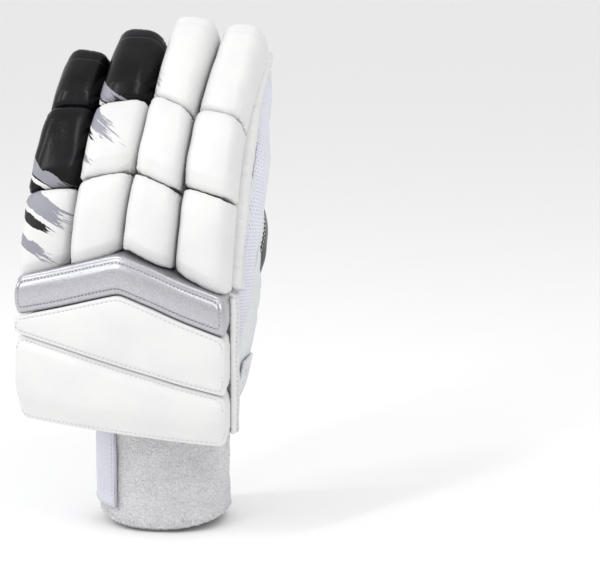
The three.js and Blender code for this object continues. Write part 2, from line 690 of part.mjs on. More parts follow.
const PLATE_STATIONS = [-1, -0.98, -0.93, -0.86, -0.5, 0, 0.5, 0.86, 0.93, 0.98, 1];
const cuffPlate = (low, high) =>
  backPlate({
    low, high, inner: PANEL_THICKNESS + GAP, thickness: CUFF_THICKNESS,
    rounding: CUFF_ROUNDING, ends: 6, stations: PLATE_STATIONS,
  });

// The panel that carries the cuff and the bar. It reaches round the sides of the hand.
function backPanel() {
  const rings = [-1, -0.96, -0.86, -0.8, -0.4, 0, 0.4, 0.8, 0.86, 0.96, 1].map((t) => {
    const x = HAND_SHIFT + t * (CUFF_WIDTH / 2 + (t > 0 ? SIDE_REACH : -1));
    const y = BACK_Y + archAt(x);
    const deep = Math.abs(t) > 0.83 ? FLANGE_DEPTH * (t > 0 ? 1 : 0.35) : 0;
    const low = cuffBottom(t) + 2;
    const high = barTop(t) - 2;
    const shoulder = Math.min(high, PALM_TOP - 5);
    return [
      [y + deep, low], [y + deep, (low + shoulder) / 2], [y + deep, shoulder],
      [y, shoulder + (high - shoulder) * 0.5],
      [y, high], [y - PANEL_THICKNESS, high],
      [y - PANEL_THICKNESS, (low + high) / 2], [y - PANEL_THICKNESS, low],
    ].map(([depth, z]) => new THREE.Vector3(x, depth, z));
  });
  return cut(solidThrough(rings), handBlock(GAP));
}

// The thumb's pads sit on its welt, and the welt on its sleeve.
function thumbPad(spine, from, to, startEnd, stopEnd) {
  return pad({
    startEnd, stopEnd, base: 0, height: THUMB_PAD_HEIGHT, squareness: 3,
    place: (share, across, up) => {
      const u = lerp(from, to, share);
      const base = spine.halfDepth(u) + 2 * GAP + WELT_THICKNESS;
      return placeOn(spine, u, across * spine.halfWidth(u), base + up);
    },
  });
}

function thumbWelt(spine, from, to) {
  const rings = Array.from({ length: 9 }, (_, i) => {
    const u = lerp(from, to, i / 8);
    return roundedOutline(12, spine.halfWidth(u) + 0.8, WELT_THICKNESS / 2, 5).map(([across, up]) =>
      placeOn(spine, u, across, spine.halfDepth(u) + GAP + WELT_THICKNESS / 2 + up),
    );
  });
  return solidThrough(rings);
}

// The tab runs up the thumb's inner side and bends away over its tip.
// at is a share of TAB_LENGTH, y and z are shares of it from the tab's foot, width is a share of TAB_WIDTH.
const TAB_SECTIONS = [
  { at: 0, y: 0, z: 0, width: 0.75 },
  { at: 0.3, y: 0.05, z: 0.32, width: 1 },
  { at: 0.6, y: -0.07, z: 0.6, width: 1.05 },
  { at: 0.85, y: -0.2, z: 0.8, width: 0.95 },
  { at: 0.96, y: -0.26, z: 0.89, width: 0.7 },
  { at: 1, y: -0.285, z: 0.92, width: 0.42 },
];

function thumbTab(spine) {
  const foot = placeOn(spine, 0.8, spine.halfWidth(0.8) + GAP + TAB_THICKNESS / 2, 3);
  const sideX = (u) => placeOn(spine, u, spine.halfWidth(u) + GAP + TAB_THICKNESS / 2, 0).x;
  foot.x = Math.min(sideX(0.8), sideX(0.9));
  const rings = TAB_SECTIONS.map((row, i) => {
    const [before, after] = [TAB_SECTIONS[Math.max(i - 1, 0)], TAB_SECTIONS[Math.min(i + 1, 5)]];
    const run = new THREE.Vector2(after.y - before.y, after.z - before.z).normalize();
    const half = (TAB_WIDTH * row.width) / 2;
    return roundedOutline(12, half, TAB_THICKNESS / 2, 5).map(
      ([across, up]) =>
        new THREE.Vector3(
          foot.x + up,
          foot.y + row.y * TAB_LENGTH + across * run.y,
          foot.z + row.z * TAB_LENGTH - across * run.x,
        ),
    );
  });
  return solidThrough(rings);
}

// The knit strip runs along the hand's thumb side and up the index finger's sleeve, beside the foam strip.
function sideKnit(spine) {
  const [from, to] = [(PALM_BASE + KNIT_START - PALM_TOP) / spine.length, 0.86];
  const rings = Array.from({ length: 14 }, (_, i) => {
    const u = lerp(from, to, i / 13);
    const width = KNIT_WIDTH * lerp(KNIT_SLIM, 1, smoothstep(u, 0, 0.22)) * (i === 13 ? 0.6 : 1);
    const section = (lift) =>
      [-1, -0.72, -0.4, 0, 0.4, 0.72, 1].map((share) => {
        const up = SLEEVE_DEPTH / 2 - width / 2 - KNIT_EDGE + (share * width) / 2;
        const place = placeOn(spine, u, 0, up);
        place.x = sideAt(spine, u, up, place) + 2 * GAP + lift;
        return place;
      });
    return [...section(0), ...section(KNIT_THICKNESS).toReversed()];
  });
  return solidThrough(rings);
}

// How far out the thumb side of the hand, or above it of the index finger's sleeve, lies
function sideAt(spine, u, up, { y, z }) {
  const halfDepth = palmValue(Math.min(z, PALM_TOP), "halfDepth");
  const turn = (y + PALM_DEPTH / 2) / halfDepth - 1;
  const level = levelAt(Math.min(z, PALM_TOP), turn);
  const curve = (share, power) => (1 - clamp(Math.abs(share), 0, 0.96) ** power) ** (1 / power);
  const handCurve = curve(turn, palmValue(level, "squareness"));
  const hand = palmValue(level, "x") + palmValue(level, "halfWidth") * handCurve;
  const side = sideOf(spine, u);
  const out = side / 2 + ((SLEEVE_WIDTH + side) / 2) * curve((2 * up) / SLEEVE_DEPTH, SLEEVE_SQUARENESS);
  const sleeve = placeOn(spine, u, out, up).x;
  return lerp(hand, Math.max(hand, sleeve), smoothstep(z, PALM_TOP - WEB_RISE / 4, PALM_TOP + WEB_RISE));
}

// The binding closes the thumb ends of the bar and the cuff.
function cuffBinding() {
  const x = HAND_SHIFT + CUFF_WIDTH / 2 + GAP + BINDING_WIDTH / 2;
  const y = BACK_Y + archAt(x) - PANEL_THICKNESS - BINDING_WIDTH;
  const rings = [cuffBottom(1) + 3, (cuffBottom(1) + barTop(1)) / 2, barTop(1) - 3].map((z) =>
    roundedOutline(10, BINDING_WIDTH / 2, BINDING_WIDTH, 3).map(
      ([across, up]) => new THREE.Vector3(x + across, y + up, z),
    ),
  );
  return solidThrough(rings);
}

const material = (colour, roughness, metalness = 0) =>
  new THREE.MeshStandardMaterial({ color: colour, roughness, metalness });
const whiteLeather = material(0xeceae8, 0.5);
const palmLeather = material(0xdfe4e6, 0.7);
const blackLeather = material(0x0b0b0c, 0.35);
const silverLeather = material(0xb4b5be, 0.38, 0.5);
const towelling = material(0xd4d4d6, 0.95);
const strapLeather = material(0xcfcfda, 0.55);
const greyLeather = material(0xbcc1c2, 0.75);
const knit = material(0xd9d8e6, 0.9);

const glove = new THREE.Group();
function piece(name, geometry, look) {
  const mesh = new THREE.Mesh(geometry, look);
  mesh.name = name;
  glove.add(mesh);
}

const thumb = thumbSpine();
const thumbSizes = {
  from: -0.1, to: 1, nose: 12, count: 18, rings: 7, squareness: 2.5,
  shift: () => 0, halfWidth: thumb.halfWidth, halfDepth: thumb.halfDepth,
};
const thumbOuter = tipTube(thumb, { ...thumbSizes, grow: 0 });
const thumbInner = tipTube(thumb, { ...thumbSizes, grow: -THUMB_WALL });
const thumbInnerPole = placeOn(thumb, 1 - THUMB_WALL / thumb.length, 0, 0);
const spines = FINGERS.map(fingerSpine);

const gusset = {
  angles: [-15, 18], heights: [PALM_BASE + 1.5, PALM_BASE + 1.5 + GUSSET_HEIGHT], out: 2 * GAP,
  thickness: GUSSET_THICKNESS, columns: 4, rows: 3, corner: 0.12,
};
const gussetHoles = ventPegs({
  angles: [-9, 12], heights: [gusset.heights[0] + 1.3 * VENT_HEM, gusset.heights[1] - VENT_HEM],
  columns: 3, rows: 6, width: VENT_HOLE,
});
const ventMiddle = PALM_TOP - 14;
const vent = {
  angles: [27, 46], heights: [ventMiddle - VENT_HEIGHT / 2, ventMiddle + VENT_HEIGHT / 2], out: GAP,
  thickness: GUSSET_THICKNESS, columns: 4, rows: 2, corner: 0.4,
};
const ventHoles = ventPegs({
  angles: [30, 43], heights: [vent.heights[0] + 0.8 * VENT_HEM, vent.heights[1] - 0.8 * VENT_HEM],
  columns: 3, rows: 3, width: VENT_HOLE * 0.8,
});
const window = (patch, inset) => {
  const [a, b] = patch.angles;
  const [low, high] = patch.heights;
  return handPatch({
    ...patch, angles: [lerp(a, b, 0.2), lerp(a, b, 0.8)], heights: [low + inset, high - inset],
    out: -2.5 * PALM_WALL, thickness: 3.5 * PALM_WALL,
  });
};

piece("wrist_band", wristBand(), towelling);
piece("wrist_strap", wristStrap(), strapLeather);
piece(
  "palm_shell",
  cut(
    handBlock(0), handHollow(), skin(thumbInner, middleOf(thumbInner[0]), thumbInnerPole),
    ...spines.map(bore), window(gusset, VENT_HEM), window(vent, 0.75 * VENT_HEM),
  ),
  palmLeather,
);
const thumbCup = cupFrom(thumbOuter, thumbInner, placeOn(thumb, 1, 0, 0), thumbInnerPole);
piece("thumb_sleeve", cut(thumbCup, handBlock(GAP)), palmLeather);
piece("thumb_gusset", cut(handPatch(gusset), ...gussetHoles), knit);
piece("palm_vent", cut(handPatch(vent), ...ventHoles), knit);
piece("side_knit", cut(sideKnit(spines[0]), handBlock(GAP), sleeveRoom(spines[0])), knit);
piece("back_panel", backPanel(), whiteLeather);
piece("cuff_binding", cuffBinding(), whiteLeather);
piece("knuckle_bar", cuffPlate(barBottom, barTop), silverLeather);
const upperLow = (t) => splitAt(t) + CUFF_GAP / 2;
const upperHigh = (t) => barBottom(t) - CUFF_GAP;
const lowerHigh = (t) => splitAt(t) - CUFF_GAP / 2;
piece("cuff_upper", cuffPlate(upperLow, upperHigh), whiteLeather);
piece("cuff_lower", cuffPlate(cuffBottom, lowerHigh), whiteLeather);
FINGERS.forEach((finger, i) => {
  piece(`sleeve_${finger.name}`, cut(sleeve(spines[i]), handBlock(GAP)), palmLeather);
  piece(`strip_${finger.name}`, cut(strip(spines[i], finger), handBlock(GAP)), whiteLeather);
  for (const [name, geometry] of rolls(spines[i], finger)) {
    piece(name, geometry, /little_(tip|middle)|ring_tip/.test(name) ? blackLeather : whiteLeather);
  }
});
piece("thumb_welt", cut(thumbWelt(thumb, 0.2, 0.97), handBlock(GAP)), whiteLeather);
const basePad = thumbPad(thumb, 0.26, 0.475, PILLOW_END, PILLOW_END);
piece("thumb_pad_base", cut(basePad, handBlock(GAP)), whiteLeather);
piece("thumb_pad_tip", thumbPad(thumb, 0.49, 0.98, PILLOW_END, NOSE_END), blackLeather);
piece("thumb_tab", thumbTab(thumb), greyLeather);

export default glove;
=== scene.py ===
# Cricket batting glove: the looks of each piece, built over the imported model.
# Shapes are worked out in millimetres, in the same frame as the model, and put into meshes in metres.
import json
import math

import bmesh
import bpy
import numpy as np
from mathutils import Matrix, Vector
from mathutils.bvhtree import BVHTree

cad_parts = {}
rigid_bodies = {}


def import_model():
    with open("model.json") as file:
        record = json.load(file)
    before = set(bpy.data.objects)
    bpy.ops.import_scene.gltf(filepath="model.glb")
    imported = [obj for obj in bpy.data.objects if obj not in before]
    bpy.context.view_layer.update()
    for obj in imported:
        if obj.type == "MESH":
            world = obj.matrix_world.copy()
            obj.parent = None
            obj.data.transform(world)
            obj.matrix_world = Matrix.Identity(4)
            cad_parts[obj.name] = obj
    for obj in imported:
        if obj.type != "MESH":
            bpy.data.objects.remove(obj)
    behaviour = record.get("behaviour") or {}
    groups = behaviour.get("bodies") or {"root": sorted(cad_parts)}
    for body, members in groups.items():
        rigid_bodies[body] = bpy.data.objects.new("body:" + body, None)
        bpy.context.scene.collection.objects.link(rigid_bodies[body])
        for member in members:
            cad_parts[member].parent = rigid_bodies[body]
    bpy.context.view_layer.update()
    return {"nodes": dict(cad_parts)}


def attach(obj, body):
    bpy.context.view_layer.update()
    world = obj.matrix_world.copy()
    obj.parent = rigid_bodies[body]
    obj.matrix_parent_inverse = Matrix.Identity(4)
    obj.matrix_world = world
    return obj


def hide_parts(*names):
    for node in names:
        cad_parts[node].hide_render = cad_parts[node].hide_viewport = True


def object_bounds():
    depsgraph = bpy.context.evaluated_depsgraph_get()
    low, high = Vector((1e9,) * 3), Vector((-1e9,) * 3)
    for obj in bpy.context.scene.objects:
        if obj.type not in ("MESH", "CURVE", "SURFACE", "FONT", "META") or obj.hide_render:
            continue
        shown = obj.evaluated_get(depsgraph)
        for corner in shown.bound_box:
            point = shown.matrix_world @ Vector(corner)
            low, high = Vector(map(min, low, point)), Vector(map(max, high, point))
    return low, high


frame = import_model()
print("frame loaded")

# Camera at the photograph's viewing angle
view = {"azimuth": 10.0, "elevation": 10.5, "centre": (0.0772, 0.0, 0.1255), "distance": 1.15, "lens": 125.0}


def makeCamera():
    az, el = math.radians(view["azimuth"]), math.radians(view["elevation"])
    away = Vector((math.sin(az) * math.cos(el), -math.cos(az) * math.cos(el), math.sin(el)))
    data = bpy.data.cameras.new("camera")
    data.lens = view["lens"]
    data.clip_end = 20
    camera = bpy.data.objects.new("camera", data)
    camera.location = Vector(view["centre"]) + away * view["distance"]
    camera.rotation_euler = away.to_track_quat("Z", "Y").to_euler()
    bpy.context.scene.collection.objects.link(camera)
    bpy.context.scene.camera = camera


makeCamera()

# Sizes shared by the pieces, in millimetres
gap = 0.35
wrist = {"width": 72, "depth": 62, "height": 68, "wall": 3.5, "tuck": 8, "dip": 5}
hand = {"width": 116, "shift": -6.5, "length": 76.5, "wall": 2, "webRise": 17, "squareness": 2.3}
sleeveSize = {"width": 22, "depth": 27, "wall": 1.6, "squareness": 3.2, "length": 138.5}
stripSize = {"thickness": 10, "side": 0.44}
rollSize = {"height": 24.5, "rise": 5, "gap": 1.2}
cuff = {"width": 105, "thickness": 28, "height": 79, "lean": 10, "bar": 21, "peak": 19.5, "gap": 1.2,
        "panel": 7, "flange": 3, "reach": 3, "barSlant": 0.37, "split": 0.48, "splitSlant": 0.19}
arch = {"rise": 5.5, "shift": 17}
thumbSize = {"length": 118, "width": 30, "depth": 38, "wall": 1.8, "pad": 24, "welt": 2.4,
             "tab": 46, "tabWidth": 20, "tabThickness": 2.4}
palmBase = wrist["height"] - wrist["tuck"]
palmTop = palmBase + hand["length"]
palmDepth = wrist["depth"] + 2 * (hand["wall"] + gap)
wristShare = (wrist["width"] + 2 * (hand["wall"] + gap)) / hand["width"]
backY = -palmDepth / 2 - gap
spineToBack = sleeveSize["depth"] / 2 + stripSize["thickness"] + 3 * gap
archTop = hand["shift"] + arch["shift"]

flexion = {"at": (0, 0.15, 0.3, 0.5, 0.72, 0.88, 1), "angle": (3, 7, 19, 36, 46, 57, 70)}
edges = {
    "at": (0, 0.3, 0.6, 0.88, 1),
    "outer": (-0.54, -0.515, -0.472, -0.436, -0.428),
    "little": (-0.29, -0.262, -0.225, -0.196, -0.187),
    "ring": (-0.047, -0.01, 0.037, 0.066, 0.072),
    "middle": (0.21, 0.238, 0.262, 0.31, 0.32),
    "index": (0.468, 0.487, 0.505, 0.545, 0.555),
}
fingerReach = 135
fingers = [
    {"name": "index", "low": "middle", "high": "index", "length": 0.96, "first": 0.275, "second": 0.505,
     "end": 0.885, "slant": -0.14, "side": 0.47},
    {"name": "middle", "low": "ring", "high": "middle", "length": 1, "first": 0.3, "second": 0.525,
     "end": 0.885, "slant": -0.2, "side": 0},
    {"name": "ring", "low": "little", "high": "ring", "length": 0.935, "first": 0.325, "second": 0.555,
     "end": 0.88, "slant": 0.22, "side": 0},
    {"name": "little", "low": "outer", "high": "little", "length": 0.835, "first": 0.3, "second": 0.58,
     "end": 0.865, "slant": 0.16, "side": 0},
]
sideShares = {"at": (0, 0.18, 0.5, 0.68, 1), "share": (0.78, 1, 1, 0.5, 0)}
palmSections = {
    "at": (0, 0.06, 0.16, 0.32, 0.55, 0.76, 0.92, 1),
    "width": (wristShare, wristShare + 0.03, 0.73, 0.8, 0.89, 0.95, 0.973, 0.98),
    "palm": (1, 1.01, 1.01, 1.02, 1.04, 1.03, 0.95, 0.84),
    "x": (0, -0.15, -0.3, -0.1, 0.1, 0.25, 0.44, 0.44),
    "squareness": (2.3, 2.3, 2.3, 2.3, 2.4, 2.7, 3, 3),
    "lift": (0, 0, 0, 0, 0, 0.15, 0.6, 1),
}
thumbSections = {
    "x": (0.04, 0.07, 0.13, 0.17, 0.19, 0.16),
    "y": (0.01, 0.17, 0.39, 0.55, 0.66, 0.745),
    "z": (0.08, 0.235, 0.475, 0.67, 0.825, 0.95),
    "width": (0.95, 1, 1.02, 1, 0.96, 0.88),
    "depth": (0.95, 1, 0.98, 0.92, 0.86, 0.8),
}
thumbBack = np.array([0.1, 0.81, -0.57])


def clamp(value, low=0.0, high=1.0):
    return np.minimum(np.maximum(value, low), high)


def smoothstep(value, low, high):
    t = clamp((value - low) / (high - low))
    return t * t * (3 - 2 * t)


def lerp(a, b, t):
    return a + (b - a) * t


# 1 at a place, falling softly to 0 on both sides of it
def bell(value, at, width):
    return np.exp(-((value - at) / width) ** 2)


def unit(vectors):
    return vectors / np.maximum(np.linalg.norm(vectors, axis=-1, keepdims=True), 1e-12)


def along(table, at, column):
    return np.interp(at, table["at"], table[column])


# A column of a table, bending smoothly from row to row and running straight past its ends
def smoothAlong(table, at, column):
    ats = np.array(table["at"], float)
    values = np.array(table[column], float)
    at = np.asarray(at, float)
    last = len(ats) - 1
    slopes = np.array([
        (values[min(i + 1, last)] - values[max(i - 1, 0)]) / (ats[min(i + 1, last)] - ats[max(i - 1, 0)])
        for i in range(last + 1)
    ])
    low = np.clip(np.searchsorted(ats, at, side="left") - 1, 0, last - 1)
    width = ats[low + 1] - ats[low]
    t = (at - ats[low]) / width
    curve = ((2 * t ** 3 - 3 * t ** 2 + 1) * values[low] + (t ** 3 - 2 * t ** 2 + t) * width * slopes[low]
             + (3 * t ** 2 - 2 * t ** 3) * values[low + 1] + (t ** 3 - t ** 2) * width * slopes[low + 1])
    before = values[0] + slopes[0] * (at - ats[0])
    after = values[last] + slopes[last] * (at - ats[last])
    return np.where(at <= ats[0], before, np.where(at >= ats[last], after, curve))


def edgeAt(name, z):
    return hand["shift"] + hand["width"] * smoothAlong(edges, clamp((z - palmTop) / fingerReach, -0.2, 1), name)


def archAt(x):
    return arch["rise"] * ((x - archTop) / (cuff["width"] / 2)) ** 2


def archSlope(x):
    return 2 * arch["rise"] * (x - archTop) / (cuff["width"] / 2) ** 2


# A middle line: places on it and the directions along it, across it and to its back
class Spine:
    def place(self, u, across, up):
        u, across, up = np.broadcast_arrays(np.asarray(u, float), across, up)
        at, _, back, side = self.frameAt(u)
        return at + side * across[..., None] + back * up[..., None]


class FingerSpine(Spine):
    def __init__(self, finger):
        self.finger = finger
        self.length = finger["length"] * sleeveSize["length"]
        self.steps = 80
        root = self.middleAt(palmTop)
        path = [np.array([root, backY - rollSize["rise"] + spineToBack + archAt(root), palmTop])]
        for i in range(self.steps):
            last = path[-1]
            theta = math.radians(float(smoothAlong(flexion, (i + 0.5) / self.steps, "angle")))
            drift = self.middleAt(last[2] + 1) - self.middleAt(last[2])
            step = np.array([drift * math.cos(theta), math.sin(theta), math.cos(theta)])
            path.append(last + step / np.linalg.norm(step) * self.length / self.steps)
        self.path = np.array(path)
        self.tilt = math.atan(archSlope(root)) / 2

    def middleAt(self, z):
        return float(edgeAt(self.finger["low"], z) + edgeAt(self.finger["high"], z)) / 2

    def frameAt(self, u):
        u = np.asarray(u, float)
        inside = clamp(u)
        place = inside * self.steps
        low = np.minimum(np.floor(place).astype(int), self.steps - 1)
        forward = unit(self.path[np.minimum(low + 2, self.steps)] - self.path[np.maximum(low - 1, 0)])
        theta = np.radians(smoothAlong(flexion, inside, "angle"))
        back = np.stack([np.zeros_like(theta), -np.cos(theta), np.sin(theta)], -1)
        turn = -self.tilt * (1 - 0.6 * inside)[..., None]
        dot = np.sum(forward * back, -1, keepdims=True)
        back = back * np.cos(turn) + np.cross(forward, back) * np.sin(turn) + forward * dot * (1 - np.cos(turn))
        across = np.cross(forward, back)
        share = (place - low)[..., None]
        at = self.path[low] * (1 - share) + self.path[low + 1] * share
        at = at + forward * ((u - inside) * self.length)[..., None]
        return at, forward, back, across

    # across runs from -1 to 1 between the finger's edges less a margin
    def between(self, u, across, up, margin):
        u, across, up = np.broadcast_arrays(np.asarray(u, float), across, up)
        points = self.place(u, across * hand["width"] / 8, up)
        low = edgeAt(self.finger["low"], points[..., 2]) + margin
        high = edgeAt(self.finger["high"], points[..., 2]) - margin
        points[..., 0] = lerp(low, high, (across + 1) / 2)
        return points

    def placeAtHeight(self, z, across, up):
        z, across, up = np.broadcast_arrays(np.asarray(z, float), across, up)
        low, high = np.full(z.shape, -0.2), np.full(z.shape, 0.6)
        for _ in range(22):
            middle = (low + high) / 2
            under = self.place(middle, across * hand["width"] / 8, up)[..., 2] < z
            low = np.where(under, middle, low)
            high = np.where(under, high, middle)
        return low

    # The lower end of a finger's rolls follows the bar's top edge.
    def rootAt(self, across, up, clear):
        low, high = edgeAt(self.finger["low"], palmTop), edgeAt(self.finger["high"], palmTop)
        x = lerp(low, high, (np.asarray(across) + 1) / 2)
        return self.placeAtHeight(barTop((x - hand["shift"]) * 2 / cuff["width"]) + clear, across, up)

    def sideOf(self, u):
        return sleeveSize["width"] * self.finger["side"] * along(sideShares, clamp(u), "share")


class ThumbSpine(Spine):
    def __init__(self):
        size = thumbSize["length"]
        points = np.stack([np.array(thumbSections[k]) * size for k in "xyz"], -1)
        points[:, 2] += palmBase
        self.points = points
        self.length = float(np.linalg.norm(np.diff(self.curve(np.linspace(0, 1, 200)), axis=0), axis=1).sum())

    # Centripetal Catmull-Rom, the same curve as the model's
    def curve(self, u):
        points, n = self.points, len(self.points) - 1
        u = clamp(np.asarray(u, float))
        low = np.minimum(np.floor(u * n).astype(int), n - 1)
        t = (u * n - low)[..., None]
        before = np.where(low[..., None] > 0, points[np.maximum(low - 1, 0)], 2 * points[0] - points[1])
        a, b = points[low], points[low + 1]
        after = np.where(low[..., None] + 2 <= n, points[np.minimum(low + 2, n)], 2 * points[n] - points[n - 1])
        da, db, dc = (np.maximum(np.sum(step ** 2, -1, keepdims=True) ** 0.25, 1e-4)
                      for step in (a - before, b - a, after - b))
        ta = ((a - before) / da - (b - before) / (da + db) + (b - a) / db) * db
        tb = ((b - a) / db - (after - a) / (db + dc) + (after - b) / dc) * db
        return (a + ta * t + (-3 * a + 3 * b - 2 * ta - tb) * t ** 2 + (2 * a - 2 * b + ta + tb) * t ** 3)

    def frameAt(self, u):
        u = np.asarray(u, float)
        inside = clamp(u)
        forward = unit(self.curve(clamp(inside + 1e-3)) - self.curve(clamp(inside - 1e-3)))
        back = unit(thumbBack - forward * np.sum(forward * thumbBack, -1, keepdims=True))
        at = self.curve(inside) + forward * ((u - inside) * thumbSize["length"])[..., None]
        return at, forward, back, np.cross(forward, back)

    def half(self, u, side):
        return thumbSize[side] / 2 * np.interp(u, np.linspace(0, 1, 6), thumbSections[side])

    def halfWidth(self, u):
        return self.half(u, "width")

    def halfDepth(self, u):
        return self.half(u, "depth")


# Edges of the cuff's pieces, as heights at a place across the cuff from -1 to 1
cuffBase = palmTop - cuff["height"] - 2


def barTop(t):
    return cuffBase + cuff["height"] + cuff["peak"] * (1 - np.abs(t)) - cuff["barSlant"] * cuff["lean"] * t


def barBottom(t):
    return barTop(t) - cuff["bar"]


def splitAt(t):
    return cuffBase + cuff["split"] * cuff["height"] - cuff["splitSlant"] * cuff["height"] * t


def cuffBottom(t):
    return cuffBase - cuff["lean"] / 2 * t


def palmValue(z, column):
    at = clamp((np.asarray(z, float) - palmBase) / hand["length"])
    value = along(palmSections, at, column)
    scale = {"width": hand["width"] / 2, "palm": palmDepth / 2, "x": hand["shift"]}
    return value * scale.get(column, 1)


def signedPower(value, power):
    return np.sign(value) * np.abs(value) ** power


# Points evenly spaced along a rounded outline with half sizes of 1, for a given shape of box
def evenOutline(count, squareness, aspect=1.0, half=False):
    angle = np.linspace(0, math.pi if half else 2 * math.pi, 4001)
    x = signedPower(np.cos(angle), 2 / squareness)
    y = signedPower(np.sin(angle), 2 / squareness)
    run = np.concatenate([[0], np.cumsum(np.hypot(np.diff(x), np.diff(y) * aspect))])
    wanted = np.linspace(0, run[-1], count if half else count + 1)
    if not half:
        wanted = wanted[:-1]
    return np.interp(wanted, run, x), np.interp(wanted, run, y)


# Smooth noise as a sum of waves: scale is the size of its folds in millimetres
def ripples(points, scale, seed, waves=14, stretch=(1, 1, 1)):
    rng = np.random.default_rng(seed)
    total = np.zeros(points.shape[:-1])
    for _ in range(waves):
        direction = rng.normal(size=3)
        direction = direction / np.linalg.norm(direction) / np.array(stretch)
        size = 2 * math.pi / (scale * rng.uniform(0.7, 1.5))
        total += np.sin(points @ direction * size + rng.uniform(0, 2 * math.pi))
    return total / math.sqrt(waves)


def outwardNormals(points):
    normals = unit(np.cross(np.roll(points, -1, 1) - np.roll(points, 1, 1), np.gradient(points, axis=0)))
    middle = points.mean(axis=1, keepdims=True)
    return normals * (1 if np.mean(np.sum(normals * (points - middle), -1)) > 0 else -1)


def pointsOf(data, value):
    found = np.empty(len(data) * 3)
    data.foreach_get(value, found)
    return found.reshape(-1, 3)


def link(name, mesh):
    ob = bpy.data.objects.new(name, mesh)
    bpy.context.scene.collection.objects.link(ob)
    return ob


def meshFrom(name, vertices, faces, uvs=None):
    mesh = bpy.data.meshes.new(name)
    mesh.from_pydata((np.asarray(vertices) / 1000).tolist(), [], faces)
    mesh.validate()
    mesh.polygons.foreach_set("use_smooth", np.ones(len(mesh.polygons), bool))
    if uvs is not None:
        layer = mesh.uv_layers.new(name="UVMap")
        index = np.empty(len(mesh.loops), int)
        mesh.loops.foreach_get("vertex_index", index)
        layer.data.foreach_set("uv", (np.asarray(uvs)[index] / 1000).ravel())
    return mesh


# A closed mesh through rings of points, rows by columns, with a pole at each end
def closedGrid(name, rings, poles=None, join=False):
    rows, columns = rings.shape[:2]
    vertices = rings.reshape(-1, 3)
    index = np.arange(rows * columns).reshape(rows, columns)
    nextColumn = np.roll(index, -1, axis=1)
    count = rows if join else rows - 1
    upper, nextUpper = np.roll(index, -1, axis=0)[:count], np.roll(nextColumn, -1, axis=0)[:count]
    faces = np.stack([index[:count], nextColumn[:count], nextUpper, upper], -1).reshape(-1, 4).tolist()
    reach = np.concatenate([[0], np.cumsum(np.linalg.norm(np.diff(rings.mean(axis=1), axis=0), axis=1))])
    girth = np.concatenate([[0], np.cumsum(np.linalg.norm(np.diff(rings[rows // 2], axis=0), axis=1))])
    uvs = np.stack(np.broadcast_arrays(girth[None, :], reach[:, None]), -1).reshape(-1, 2)
    if not join:
        first = rings[0].mean(axis=0) if poles is None else poles[0]
        final = rings[-1].mean(axis=0) if poles is None else poles[1]
        vertices = np.vstack([vertices, first, final])
        uvs = np.vstack([uvs, [0, reach[0]], [0, reach[-1]]])
        low, high = rows * columns, rows * columns + 1
        faces += [[low, int(b), int(a)] for a, b in zip(index[0], nextColumn[0])]
        faces += [[high, int(a), int(b)] for a, b in zip(index[-1], nextColumn[-1])]
    corner = vertices[[f[0] for f in faces]], vertices[[f[1] for f in faces]], vertices[[f[2] for f in faces]]
    if np.sum(corner[0] * np.cross(corner[1] - corner[0], corner[2] - corner[0])) < 0:
        faces = [face[::-1] for face in faces]
    return meshFrom(name, vertices, faces, uvs)


# Rings that shrink towards a pole, added after a last ring so that an end closes softly
def closeEnd(ring, forward, bulge, count=5):
    middle = ring.mean(axis=0)
    steps = np.linspace(0, 1, count + 2)[1:-1]
    return np.array([
        middle + (ring - middle) * (1 - step) + forward * bulge * (1 - (1 - step) ** 2) for step in steps
    ]), middle + forward * bulge


# Puts a value, or a link to another node, into a socket
def feed(tree, socket, value):
    if isinstance(value, Field):
        value = value.socket
    if isinstance(value, bpy.types.NodeSocket):
        tree.links.new(value, socket)
    elif socket.type == "RGBA":
        socket.default_value = (*value[:3], 1)
    else:
        socket.default_value = value


def grow(tree, kind, settings=None, values=None):
    node = tree.nodes.new(kind)
    for key, value in (settings or {}).items():
        setattr(node, key, value)
    for key, value in (values or {}).items():
        feed(tree, node.inputs[key], value)
    return node


# Materials

class Field:
    def __init__(self, looks, socket):
        self.looks, self.socket = looks, socket

    def combine(self, kind, other=None, swap=False):
        pair = [other, self] if swap else [self, other]
        values = {i: value for i, value in enumerate(pair) if value is not None}
        return Field(self.looks, self.looks.add("ShaderNodeMath", {"operation": kind}, values).outputs[0])

    def __add__(self, other): return self.combine("ADD", other)
    def __radd__(self, other): return self.combine("ADD", other)
    def __sub__(self, other): return self.combine("SUBTRACT", other)
    def __rsub__(self, other): return self.combine("SUBTRACT", other, swap=True)
    def __mul__(self, other): return self.combine("MULTIPLY", other)
    def __rmul__(self, other): return self.combine("MULTIPLY", other)
    def __truediv__(self, other): return self.combine("DIVIDE", other)
    def __rtruediv__(self, other): return self.combine("DIVIDE", other, swap=True)
    def absolute(self): return self.combine("ABSOLUTE")
    def fraction(self): return self.combine("FRACT")
    def floor(self): return self.combine("FLOOR")
    def sine(self): return self.combine("SINE")
    def root(self): return self.combine("SQRT")

    # 0 below low, 1 above high, smooth between
    def ramp(self, low, high, start=0.0, stop=1.0):
        return Field(self.looks, self.looks.add(
            "ShaderNodeMapRange", {"interpolation_type": "SMOOTHSTEP"},
            {"Value": self, "From Min": low, "From Max": high, "To Min": start, "To Max": stop}).outputs[0])


